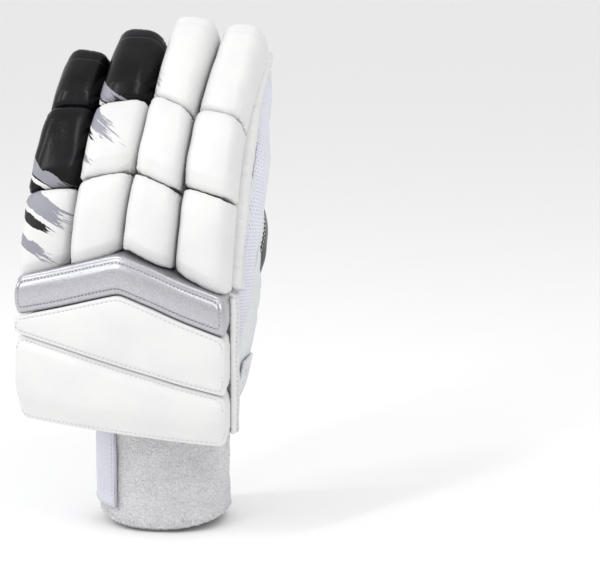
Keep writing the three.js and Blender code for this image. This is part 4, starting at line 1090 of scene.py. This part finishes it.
def makePanel(look):
    even = np.linspace(-1, 1, look["across"])
    t = np.sin(even * math.pi / 2) * 0.7 + even * 0.3
    x = hand["shift"] + t * (cuff["width"] / 2 + np.where(t > 0, cuff["reach"], -1))
    y = backY + archAt(x)
    deep = cuff["flange"] * smoothstep(np.abs(t), 0.8, 0.9) * np.where(t > 0, 1, 0.35)
    low, high = cuffBottom(t) + 2, softPeak(barTop)(t) - 2
    shoulder = np.minimum(high, palmTop - 5)
    rows = [(np.stack([x, y + deep, lerp(low, shoulder, k)], -1)) for k in np.linspace(0, 1, 20)]
    rows += [np.stack([x, y + deep * (1 - k), lerp(shoulder, high, k)], -1) for k in np.linspace(0.1, 1, 8)]
    rows += [np.stack([x, y - cuff["panel"] * k, high], -1) for k in np.linspace(0.15, 1, 7)]
    rows += [np.stack([x, y - cuff["panel"], lerp(high, low, k)], -1) for k in np.linspace(0.02, 1, 60)]
    rows += [np.stack([x, lerp(y - cuff["panel"], y + deep, k), low], -1) for k in np.linspace(0.15, 0.9, 6)]
    points = np.stack(rows, 1)
    # The ends are rounded in section
    inset = clamp(1 - (1 - np.abs(t)) * cuff["width"] / 2 / look["round"])
    middle = (y + (deep - cuff["panel"]) / 2)[:, None]
    squeeze = 1 - 0.55 * (1 - np.sqrt(np.maximum(1 - inset ** 2, 0)))[:, None]
    points[..., 1] = middle + (points[..., 1] - middle) * squeeze
    normals = outwardNormals(points)
    outer = smoothstep(np.abs(t), 0.9, 0.97)[:, None]
    folds = ripples(points, 3.0, 41, 20, (6, 6, 1)) * look["gathers"] * outer
    points = points + normals * (folds + ripples(points, 20, 42) * look["waves"] * outer)[..., None]
    return closedGrid("back_panel_padded", points)


settle(makePanel(panelLook), "back_panel", "white_leather", 0.9)


bindingLook = {"along": 90, "round": 20, "squareness": 2.4, "halfWidth": 1.3, "halfDepth": 2.6, "pucker": 0.05,
               "ends": 3}


def makeBinding(look):
    wide, deep = look["halfWidth"], look["halfDepth"]
    x = hand["shift"] + cuff["width"] / 2 + gap + wide
    y = backY + archAt(x) - cuff["panel"] - deep
    outX, outY = evenOutline(look["round"], look["squareness"], deep / wide)
    share = np.linspace(0, 1, look["along"])[:, None]
    z = lerp(cuffBottom(1) + look["ends"], barTop(1) - look["ends"], share)
    pucker = 1 + look["pucker"] * np.sin(z * 2.1) + look["pucker"] * np.sin(z * 1.3 + 1)
    points = np.stack([x + outX * wide * pucker, y + outY * deep * pucker, z + 0 * outX], -1)
    return closedGrid("cuff_binding_piped", points)


settle(makeBinding(bindingLook), "cuff_binding", "white_leather")
print("strips and panel made")

# Sleeves

def tubeRings(spine, look, extra, halfWidth, halfDepth, shift, squareness):
    length = spine.length
    reach = look["to"] + extra / length
    noseLength = look["nose"] / length
    straight = np.linspace(look["from"], reach - noseLength, look["along"])
    turn = np.linspace(0, 1, look["noseRings"] + 2)[1:-1] * math.pi / 2
    u = np.concatenate([straight, reach - noseLength + noseLength * np.sin(turn)])[:, None]
    shrink = np.concatenate([np.ones(look["along"]), np.cos(turn)])[:, None]
    outX, outY = evenOutline(look["round"], squareness, look["aspect"])
    across = shift(u) + (halfWidth(u) + extra) * shrink * outX[None, :]
    up = (halfDepth(u) + extra) * shrink * outY[None, :]
    return spine.place(u, across, up), u, outX, outY, spine.place(np.array(reach), shift(np.array(reach)), 0.0)


# A cup: its outer rings from the tip down, then its inner rings back up
def cupMesh(name, outer, inner, outerPole, innerPole):
    return closedGrid(name, np.concatenate([outer[::-1], inner]), (outerPole, innerPole))


sleeveLook = {"from": -0.05, "to": 1.0, "nose": 9, "noseRings": 9, "along": 110, "round": 72, "aspect": 1.2,
              "folds": 0.5, "gathers": 0.45}


def makeSleeve(spine, look, seed):
    shape = (lambda u: (sleeveSize["width"] + spine.sideOf(u)) / 2, lambda u: sleeveSize["depth"] / 2 + 0 * u,
             lambda u: spine.sideOf(u) / 2, sleeveSize["squareness"])
    outer, u, outX, outY, pole = tubeRings(spine, look, 0, *shape)
    coarse = {**look, "along": 24, "noseRings": 5}
    inner, _, _, _, innerPole = tubeRings(spine, coarse, -sleeveSize["wall"], *shape)
    normals = outwardNormals(outer)
    # Creases on the inner side of the bend, and gathers round the fingertip
    palmSide = smoothstep(-outY, 0.1, 0.9)[None, :]
    bend = bell(u, 0.33, 0.05) + bell(u, 0.58, 0.05) + 0.5 * bell(u, 0.15, 0.06)
    creases = -np.abs(np.sin(u * spine.length / 2.6 + 1.3 * outX[None, :] + seed)) * bend * palmSide * look["folds"]
    tip = bell(u, 0.86, 0.035)
    angle = np.arctan2(outY, outX)[None, :]
    pleats = np.cos(angle * 26 + ripples(outer, 20, seed)) * tip * palmSide * look["gathers"]
    seams = -0.45 * bell(outX[None, :], 0, 0.05) * (outY[None, :] < 0) * (u < 0.84)
    cuffSeam = -0.55 * bell(u, 0.84, 0.9 / spine.length) * palmSide
    loose = ripples(outer, 12, seed + 1) * 0.3 + ripples(outer, 4.5, seed + 2, 20) * 0.12
    outer = outer + normals * (creases + pleats + seams + cuffSeam + loose)[..., None]
    return cupMesh(f"sleeve_{spine.finger['name']}_sewn", outer, inner, pole, innerPole)


for i, finger in enumerate(fingers):
    mesh = makeSleeve(spines[finger["name"]], sleeveLook, 60 + 5 * i)
    settle(mesh, f"sleeve_{finger['name']}", "palm_leather")
print("sleeves made")


# Hand: its outer face from the wrist to the finger roots, and the hollow inside

def handOutline(level, outX, outY, extra):
    # outX and outY give only the way round; each level has its own squareness
    angle = np.arctan2(outY, outX)[None, :]
    squareness = palmValue(level, "squareness")
    cx, cy = signedPower(np.cos(angle), 2 / squareness), signedPower(np.sin(angle), 2 / squareness)
    halfWidth, halfDepth = palmValue(level, "width"), palmValue(level, "palm")
    across, up = (halfWidth + extra) * cx, (halfDepth + extra) * cy
    lift = hand["webRise"] * palmValue(level, "lift") * smoothstep(up / halfDepth, -0.5, 0.7)
    return np.stack([palmValue(level, "x") + across, up - palmDepth / 2 + halfDepth, level + lift], -1)


# Each patch has its middle, across and up, and its half sizes; the web lies over the height given.
palmLook = {"along": 130, "round": 220, "creases": 0.55, "seam": 0.5, "patch": 0.7,
            "patches": ((16, 92, 24, 34), (-26, 86, 22, 27)),
            "webHeight": 128, "webBend": 0.0012, "webMiddle": -4, "webReach": 18, "webSeam": 0.07}


def makePalm(look):
    angle = np.linspace(0, 2 * math.pi, look["round"] + 1)[:-1]
    outX, outY = np.cos(angle), np.sin(angle)
    level = np.linspace(palmBase, palmTop, look["along"])[:, None]
    outer = handOutline(level, outX, outY, 0)
    normals = outwardNormals(outer)
    x, y, z = outer[..., 0], outer[..., 1], outer[..., 2]
    palmSide = smoothstep(y, -8, 10)
    # Sewn patches of the palm: their edges stand up a little, with a sewn groove beside them
    shares = [np.hypot((x - atX) / halfX, (z - atZ) / halfZ) for atX, atZ, halfX, halfZ in look["patches"]]
    web = (z - look["webHeight"] + look["webBend"] * (x - look["webMiddle"]) ** 2) / look["webReach"]
    patches = sum(smoothstep(1 - share, -0.03, 0.02) for share in shares) + smoothstep(web, -0.02, 0.03)
    grooves = sum(bell(share, 0.95, 0.02) for share in shares) + bell(web, look["webSeam"], 0.03)
    folds = ripples(outer, 13, 91, 16, (1, 1, 2)) * 0.5 + ripples(outer, 5, 92, 20, (1, 1, 1.6)) * 0.2
    lines = -np.abs(np.sin((z + 0.35 * x) / 9 + ripples(outer, 30, 93) * 0.6)) ** 8 * look["creases"]
    relief = palmSide * (patches * look["patch"] - grooves * look["seam"] + lines) + folds * 0.7
    outer = outer + normals * relief[..., None]
    inner = handOutline(np.linspace(palmTop - hand["wall"], palmBase - 1, 30)[:, None], outX, outY, -hand["wall"])
    inner = inner[::-1]
    cap, pole = closeEnd(outer[-1], np.array([0, 0, 1.0]), 1.5, 7)
    return cupMesh("palm_shell_sewn", np.concatenate([outer, cap]), inner, pole, inner[-1].mean(0))


settle(makePalm(palmLook), "palm_shell", "palm_leather")
print("palm made")

# Knit strip on the thumb side

knitLook = {"along": 150, "across": 34, "width": 22, "slim": 0.5, "edge": 1.5, "start": 5, "thickness": 0.9,
            "puff": 0.35}


def levelAt(z, turn):
    level = np.array(z, float)
    for _ in range(12):
        lift = hand["webRise"] * palmValue(level, "lift") * smoothstep(turn, -0.5, 0.7)
        level = clamp(z - lift, palmBase, palmTop)
    return level


def sideAt(spine, u, up, points):
    y, z = points[..., 1], points[..., 2]
    low = np.minimum(z, palmTop)
    turn = (y + palmDepth / 2) / palmValue(low, "palm") - 1
    level = levelAt(low, turn)
    curve = lambda share, power: (1 - clamp(np.abs(share), 0, 0.96) ** power) ** (1 / power)
    handX = palmValue(level, "x") + palmValue(level, "width") * curve(turn, palmValue(level, "squareness"))
    side = spine.sideOf(u)
    half = (sleeveSize["width"] + side) / 2 * curve(2 * up / sleeveSize["depth"], sleeveSize["squareness"])
    sleeveX = spine.place(u, side / 2 + half, up)[..., 0]
    share = smoothstep(z, palmTop - hand["webRise"] / 4, palmTop + hand["webRise"])
    return lerp(handX, np.maximum(handX, sleeveX), share)


def makeKnit(look):
    spine = spines["index"]
    start = (palmBase + look["start"] - palmTop) / spine.length
    u = np.linspace(start, 0.86, look["along"])[:, None]
    width = look["width"] * lerp(look["slim"], 1, smoothstep(u, 0, 0.22)) * lerp(1, 0.6, smoothstep(u, 0.8, 0.86))
    share = np.linspace(-1, 1, look["across"])[None, :]
    up = sleeveSize["depth"] / 2 - width / 2 - look["edge"] + share * width / 2
    points = spine.place(u, 0 * up, up)
    x = sideAt(spine, u + 0 * up, up, points) + 0.25
    puff = look["puff"] * (np.sqrt(np.maximum(1 - share ** 2, 0)) + 0.4 * ripples(points, 9, 71))
    low, high = points.copy(), points.copy()
    low[..., 0] = x
    high[..., 0] = x + look["thickness"] * (0.55 + 0.45 * np.sqrt(np.maximum(1 - share ** 8, 0))) + puff
    rings = np.concatenate([low, high[:, ::-1]], 1)
    return closedGrid("side_knit_sewn", rings)


settle(makeKnit(knitLook), "side_knit", "knit")

# Thumb

thumbLook = {"from": -0.1, "to": 1.0, "nose": 12, "noseRings": 10, "along": 110, "round": 88, "aspect": 1.25,
             "folds": 0.5, "squareness": 2.5}


def makeThumbSleeve(look):
    shape = thumb.halfWidth, thumb.halfDepth, lambda u: 0 * u, look["squareness"]
    outer, u, outX, outY, pole = tubeRings(thumb, look, 0, *shape)
    coarse = {**look, "along": 26, "noseRings": 5}
    inner, _, _, _, innerPole = tubeRings(thumb, coarse, -thumbSize["wall"], *shape)
    normals = outwardNormals(outer)
    face = smoothstep(-outY, -0.2, 0.8)[None, :]
    folds = ripples(outer, 11, 81) * 0.45 + ripples(outer, 4.5, 82, 20) * 0.18
    bend = bell(u, 0.62, 0.05) + 0.7 * bell(u, 0.35, 0.06)
    creases = -np.abs(np.sin(u * thumb.length / 2.8 + 1.2 * outX[None, :])) * bend * face * look["folds"]
    seam = -0.5 * bell(outX[None, :], -0.62, 0.04) * face
    outer = outer + normals * (folds + creases + seam)[..., None]
    return cupMesh("thumb_sleeve_sewn", outer, inner, pole, innerPole)


settle(makeThumbSleeve(thumbLook), "thumb_sleeve", "palm_leather")

thumbPadLook = {**rollLook, "height": thumbSize["pad"], "squareness": 3.2, "facet": 0.6, "gathers": 0.34,
                "pinch": 0.5, "waves": 0.35, "pleats": 0.5}


thumbPads = [
    {"node": "thumb_pad_base", "low": 0.26, "high": 0.475, "end": seamEnd, "seed": 401, "slot": "white_leather",
     "fill": 0.85, "thread": paleThread, "sewn": (0.275, 0.46)},
    {"node": "thumb_pad_tip", "low": 0.49, "high": 0.98, "end": noseEnd, "seed": 431, "slot": "black_leather",
     "fill": 0.9, "thread": whiteThread, "sewn": (0.505, 0.965)},
]


def makeThumbPad(pad, look):
    def place(share, across, up):
        u = lerp(pad["low"], pad["high"], np.broadcast_to(share, across.shape))
        return thumb.place(u, across * thumb.halfWidth(u), thumb.halfDepth(u) + 2 * gap + thumbSize["welt"] + up)
    rings, poles = padRings(place, (pad["high"] - pad["low"]) * thumb.length, thumbSize["width"] / 2, 0.0,
                            {**look, "seed": pad["seed"]}, seamEnd, pad["end"])
    return closedGrid(pad["node"] + "_padded", rings, poles)


for pad in thumbPads:
    settle(makeThumbPad(pad, thumbPadLook), pad["node"], pad["slot"], pad["fill"])

weltLook = {"from": 0.2, "to": 0.97, "along": 130, "round": 44, "past": 0.9, "pucker": 0.35, "roll": 0.2}


def makeWelt(look):
    u = np.linspace(look["from"], look["to"], look["along"])[:, None]
    outX, outY = evenOutline(look["round"], 4, 0.08)
    ease = np.minimum(1, 0.86 + (1 - (u - look["from"]) / (look["to"] - look["from"])) * 2)
    edge = smoothstep(np.abs(outX), 0.85, 1)[None, :]
    across = (thumb.halfWidth(u) + look["past"]) * outX * ease
    across = across + np.sign(outX) * edge * look["pucker"] * np.sin(u * 290)
    up = thumb.halfDepth(u) + gap + thumbSize["welt"] / 2 * (1 + outY * (1 + look["roll"] * edge))
    return closedGrid("thumb_welt_sewn", thumb.place(u, across, up))


settle(makeWelt(weltLook), "thumb_welt", "white_leather")

tabSections = {"at": (0, 0.3, 0.6, 0.85, 0.96, 1), "y": (0, 0.05, -0.07, -0.2, -0.26, -0.285),
               "z": (0, 0.32, 0.6, 0.8, 0.89, 0.92), "width": (0.75, 1, 1.05, 0.95, 0.7, 0.42)}
tabLook = {"foot": 0.8, "along": 70, "round": 40, "tip": 0.14, "cup": 0.5}


def makeTab(look):
    half = thumbSize["tabThickness"] / 2
    foot = thumb.place(look["foot"], thumb.halfWidth(look["foot"]) + gap + half, 3.0)
    sideX = lambda u: thumb.place(u, thumb.halfWidth(u) + gap + half, 0.0)[0]
    foot[0] = min(sideX(look["foot"]), sideX(look["foot"] + 0.1))
    at = np.linspace(0, 1, look["along"])
    y, z = smoothAlong(tabSections, at, "y"), smoothAlong(tabSections, at, "z")
    run = unit(np.stack([np.gradient(y), np.gradient(z)], -1))
    ease = np.sqrt(clamp((1 - at) / look["tip"]))
    wide = np.where(at > 1 - look["tip"], ease * 0.95, along(tabSections, at, "width"))
    width = thumbSize["tabWidth"] / 2 * wide[:, None]
    outX, outY = evenOutline(look["round"], 5, 0.12)
    across = np.maximum(width, 1.2) * outX[None, :]
    size = thumbSize["tab"]
    cup = look["cup"] * np.sin(at * 5)[:, None]
    points = np.stack([foot[0] + outY * half + cup + 0 * across,
                       foot[1] + y[:, None] * size + across * run[:, 1:2],
                       foot[2] + z[:, None] * size - across * run[:, 0:1]], -1)
    return closedGrid("thumb_tab_sewn", points)


settle(makeTab(tabLook), "thumb_tab", "grey_leather")
print("thumb made")

# Wrist band and its strap

bandLook = {"round": 220, "along": 90, "tufts": 0.2, "hemHeight": 2.2,
            "loops": {"Distance": 1.16, "Nub": 0.95, "Stand": 1.1, "Seed": 4},
            "hem": {"Distance": 0.85, "Nub": 0.8, "Stand": 1.9, "Seed": 9}}


def bandPlace(angle):
    x, y = (signedPower(share, 2 / hand["squareness"]) for share in (np.cos(angle), np.sin(angle)))
    return wrist["width"] / 2 * x, wrist["depth"] / 2 * y


def makeBand(look):
    angle = np.linspace(0, 2 * math.pi, look["round"] + 1)[:-1]
    x, y = bandPlace(angle)
    wall = wrist["wall"] / (wrist["depth"] / 2)
    dip = wrist["dip"] * (2 * y / wrist["depth"]) ** 2

    def ring(share, shrink):
        return np.stack([x * shrink, y * shrink, share * wrist["height"] - dip * (1 - share)], -1)

    outer = np.array([ring(share, 1) for share in np.linspace(0, 1, look["along"])])
    roundLip = [ring(0, 1 - wall * (0.5 - 0.5 * math.cos(k))) + np.array([0, 0, -1.2 * math.sin(k)])
                for k in np.linspace(0, math.pi, 8)[1:-1]]
    inner = np.array([ring(share, 1 - wall) for share in np.linspace(0, 1, 40)])
    normals = outwardNormals(outer)
    slack = ripples(outer, 26, 21) * 0.5
    nubs = np.abs(ripples(outer, 2.1, 22, 26)) * look["tufts"] + ripples(outer, 1.3, 23, 26) * 0.18
    hem = 0.5 * bell(outer[..., 2], -dip, 1.8)
    outer = outer + normals * (slack + nubs + hem - 0.4)[..., None]
    rings = np.concatenate([outer[::-1], np.array(roundLip), inner])
    return closedGrid("wrist_band_cloth", rings, join=True)


band = settle(makeBand(bandLook), "wrist_band", "towelling")


# Loops stand on the outside of the band, longer ones round its hem.
def makeLoops(look, size, onHem):
    ob = link("wrist_band_hem" if onHem else "wrist_band_loops", band.data.copy())
    x, y, z = pointsOf(ob.data.vertices, "co").T * 1000
    reach = sum(np.abs(2 * at / wrist[side]) ** hand["squareness"] for at, side in ((x, "width"), (y, "depth")))
    above = z + wrist["dip"] * (2 * y / wrist["depth"]) ** 2
    outside = (reach > 0.9) & (above < wrist["height"] - 3)
    fluff = above < look["hemHeight"] if onHem else outside & (above > look["hemHeight"] * 0.5)
    ob.data.attributes.new("fluff", "FLOAT", "POINT").data.foreach_set("value", fluff.astype(float))
    values = {key: value if key == "Seed" else value / 1000 for key, value in size.items()}
    settle(grown(ob, terryTree, {**values, "Towelling": finishes["towelling"]}), slotName="towelling")


makeLoops(bandLook, bandLook["loops"], False)
makeLoops(bandLook, bandLook["hem"], True)

strapSections = {
    "at": (0, 0.2, 0.4, 0.65, 0.85, 0.96, 1),
    "angle": (238, 200, 150, 105, 76, 63, 59),
    "bottom": (0.06, 0.07, 0.1, 0.15, 0.21, 0.29, 0.4),
    "top": (0.82, 0.82, 0.82, 0.79, 0.8, 0.76, 0.67),
    "lift": (0, 0, 0, 0.05, 0.5, 0.93, 1),
}
strapLook = {"height": 44, "palmShare": 0.62, "thickness": 2.2, "lift": 11.5}


def strapAt(at, look):
    x, y = bandPlace(np.radians(smoothAlong(strapSections, at, "angle")))
    reach = look["height"] / look["palmShare"]
    edges = [along(strapSections, at, edge) * reach for edge in ("bottom", "top")]
    return x, y, unit(np.stack([x, y, 0 * x], -1)), *edges


def makeStrap(look):
    at = np.linspace(0, 1, 150)
    x, y, away, low, high = strapAt(at, look)
    lift = gap + 0.5 + look["lift"] * clamp(smoothAlong(strapSections, at, "lift"))
    outX, outY = evenOutline(70, 6, 0.06)
    z = ((low + high) / 2)[:, None] + ((high - low) / 2)[:, None] * outX[None, :]
    fromRim = (1 - np.abs(outX)) * 20
    hem = 0.35 * bell(fromRim, 1.6, 1)[None, :]
    groove = -0.3 * bell(fromRim, 3.2, 0.5)[None, :]
    out = lift[:, None] + look["thickness"] / 2 * (1 + outY[None, :]) + (hem + groove) * (outY > 0)[None, :]
    points = np.stack([x[:, None] + away[:, :1] * out, y[:, None] + away[:, 1:2] * out, z], -1)
    return closedGrid("wrist_strap_sewn", points)


settle(makeStrap(strapLook), "wrist_strap", "strap_leather")
print("band and strap made")


# Seams: lines dropped on the finished pieces, then sewn

pieces = bpy.data.objects
seams = {"fingerApart": 1.1, "fingerFrom": 0.05, "fingerTo": 0.79, "tipAt": (0.805, 0.83), "webApart": 2.2,
         "padUp": 3.4, "strapInset": 1.8, "panelInset": 2.2, "fingerOff": 12, "tipOff": 28, "padOff": 15,
         "strapOff": 30}


def sewFingers():
    lines = []
    for spine in spines.values():
        sleeve = pieces[f"sleeve_{spine.finger['name']}_sewn"]
        u = np.linspace(seams["fingerFrom"], seams["fingerTo"], 70)
        back = spine.frameAt(u)[2]
        for offset in (-seams["fingerApart"], seams["fingerApart"]):
            starts = spine.place(u, spine.sideOf(u) / 2 + offset, -sleeveSize["depth"] / 2 - seams["fingerOff"])
            lines.append(castOn(sleeve, starts, back))
        angle = np.radians(np.linspace(-168, -12, 40))
        for level in seams["tipAt"]:
            level = np.full(len(angle), level)
            middle = spine.place(level, spine.sideOf(level) / 2, 0.0)
            out = seams["tipOff"]
            starts = spine.place(level, spine.sideOf(level) / 2 + out * np.cos(angle), out * np.sin(angle))
            lines.append(castOn(sleeve, starts, unit(middle - starts)))
    sew("finger_stitches", lines, fine, blueThread)


def sewPalm(look):
    palm = pieces["palm_shell_sewn"]
    angle = np.linspace(0, 2 * math.pi, 120)
    lines = []
    for middleX, middleZ, halfX, halfZ in look["patches"]:
        for share in (0.91, 0.99):
            x, z = middleX + halfX * share * np.cos(angle), middleZ + halfZ * share * np.sin(angle)
            keep = (z > palmBase + 2) & (x > -48) & (x < 33)
            runs = np.split(np.arange(len(x)), np.where(~keep)[0])
            for run in runs:
                run = run[keep[run]]
                if len(run) > 4:
                    lines.append(castOn(palm, np.stack([x[run], 0 * x[run] + farOff, z[run]], -1), (0, -1, 0)))
    x = np.linspace(-55, 36, 90)
    web = look["webHeight"] + look["webReach"] * look["webSeam"] - look["webBend"] * (x - look["webMiddle"]) ** 2
    for offset in (-seams["webApart"] / 2, seams["webApart"] / 2):
        lines.append(castOn(palm, np.stack([x, 0 * x + farOff, web + offset], -1), (0, -1, 0)))
    sew("palm_stitches", lines, fine, blueThread)


def sewThumb():
    for pad in reversed(thumbPads):
        lines = []
        u = np.linspace(*pad["sewn"], 60)
        across = thumb.frameAt(u)[3]
        for side in (-1, 1):
            starts = thumb.place(u, side * (thumb.halfWidth(u) + seams["padOff"]),
                                 thumb.halfDepth(u) + 2 * gap + thumbSize["welt"] + seams["padUp"])
            lines.append(castOn(pieces[pad["node"] + "_padded"], starts, -side * across))
        sew(pad["node"] + "_stitches", lines, fine, pad["thread"])


def sewStrap(look):
    x, y, away, low, high = strapAt(np.linspace(0.015, 0.97, 130), look)
    foot = np.stack([x, y, 0 * x], -1) + away * seams["strapOff"]
    lines = []
    for z in (low + seams["strapInset"], high - seams["strapInset"]):
        starts = foot.copy()
        starts[:, 2] = z
        lines.append(castOn(pieces["wrist_strap_sewn"], starts, -away))
    z = np.linspace(low[0] + seams["strapInset"], high[0] - seams["strapInset"], 40)
    starts = np.repeat(foot[:1], len(z), axis=0)
    starts[:, 2] = z
    lines.append(castOn(pieces["wrist_strap_sewn"], starts, -away[0]))
    sew("wrist_strap_stitches", lines, fine, paleThread)


def sewSide():
    z = np.linspace(cuffBottom(1) + 4, barTop(1) - 4, 80)
    y = backY + archAt(hand["shift"] + cuff["width"] / 2) - cuff["panel"] + seams["panelInset"]
    starts = np.stack([0 * z + farOff, 0 * z + y, z], -1)
    lines = [castOn(pieces["back_panel_padded"], starts, (-1, 0, 0))]
    sew("side_stitches", lines, fine, paleThread)


sewFingers()
sewPalm(palmLook)
sewThumb()
sewStrap(strapLook)
sewSide()
print("seams sewn")


# Pierced cloth: the vents keep their holes, rounded over and puckered
vents = {"voxel": 0.3, "smooth": 2, "wave": 0.12}


def makeVent(node, look, seed):
    cloth = bmesh.new()
    cloth.from_mesh(frame["nodes"][node].data)
    bmesh.ops.remove_doubles(cloth, verts=cloth.verts, dist=1e-6)
    mesh = bpy.data.meshes.new(node + "_sewn")
    cloth.to_mesh(mesh)
    cloth.free()
    ob = link(node + "_sewn", mesh)
    remesh = ob.modifiers.new("remesh", "REMESH")
    remesh.mode, remesh.voxel_size, remesh.use_smooth_shade = "VOXEL", look["voxel"] / 1000, True
    smooth = ob.modifiers.new("smooth", "SMOOTH")
    smooth.factor, smooth.iterations = 0.5, look["smooth"]
    made = plain(ob).data
    corners, normals = pointsOf(made.vertices, "co"), pointsOf(made.vertices, "normal")
    corners += normals * (ripples(corners * 1000, 7, seed) * look["wave"] / 1000)[:, None]
    made.vertices.foreach_set("co", corners.ravel())
    made.update()
    settle(ob, node, "knit", material=ventCloth)


makeVent("thumb_gusset", vents, 501)
makeVent("palm_vent", vents, 502)
print("vents made")


# Floor and light

stage = {"reach": 60000, "below": 1, "sky": 0.86, "aim": (0, 0, 0.14)}
lights = {
    "key light": {"at": (-0.5, -0.85, 0.9), "size": (0.08, 0.7), "power": 3.4},
    "left light": {"at": (-0.9, -0.34, 0.8), "size": (0.05, 0.8), "power": 2.9},
    "right light": {"at": (0.56, -0.55, 0.95), "size": (0.05, 0.8), "power": 2.9},
}


def makeStage():
    reach, level = stage["reach"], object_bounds()[0][2] * 1000 - stage["below"]
    floorMesh = meshFrom("floor", [(-reach, -reach, level), (reach, -reach, level), (reach, reach, level),
                                   (-reach, reach, level)], [[0, 1, 2, 3]])
    looks = Looks("floor")
    grain = looks.noise(looks.place(), 30, 3)
    looks.set(**{"Base Color": looks.mix(grain, (0.93, 0.93, 0.93), (0.95, 0.95, 0.95)),
                 "Roughness": grain * 0.05 + 0.9})
    floor = link("floor", floorMesh)
    floor.data.materials.append(looks.material)
    world = bpy.data.worlds.new("world")
    bpy.context.scene.world = world
    world.use_nodes = True
    world.node_tree.nodes["Background"].inputs[0].default_value = (1, 1, 1, 1)
    world.node_tree.nodes["Background"].inputs[1].default_value = stage["sky"]


def areaLight(name, look):
    data = bpy.data.lights.new(name, "AREA")
    data.shape, data.energy = "RECTANGLE", look["power"]
    data.size, data.size_y = look["size"]
    light = bpy.data.objects.new(name, data)
    light.location = look["at"]
    light.rotation_euler = (Vector(look["at"]) - Vector(stage["aim"])).to_track_quat("Z", "Y").to_euler()
    bpy.context.scene.collection.objects.link(light)


makeStage()
for name, look in lights.items():
    areaLight(name, look)
bpy.context.scene.view_settings.view_transform = "Standard"
bpy.context.scene.view_settings.look = "None"
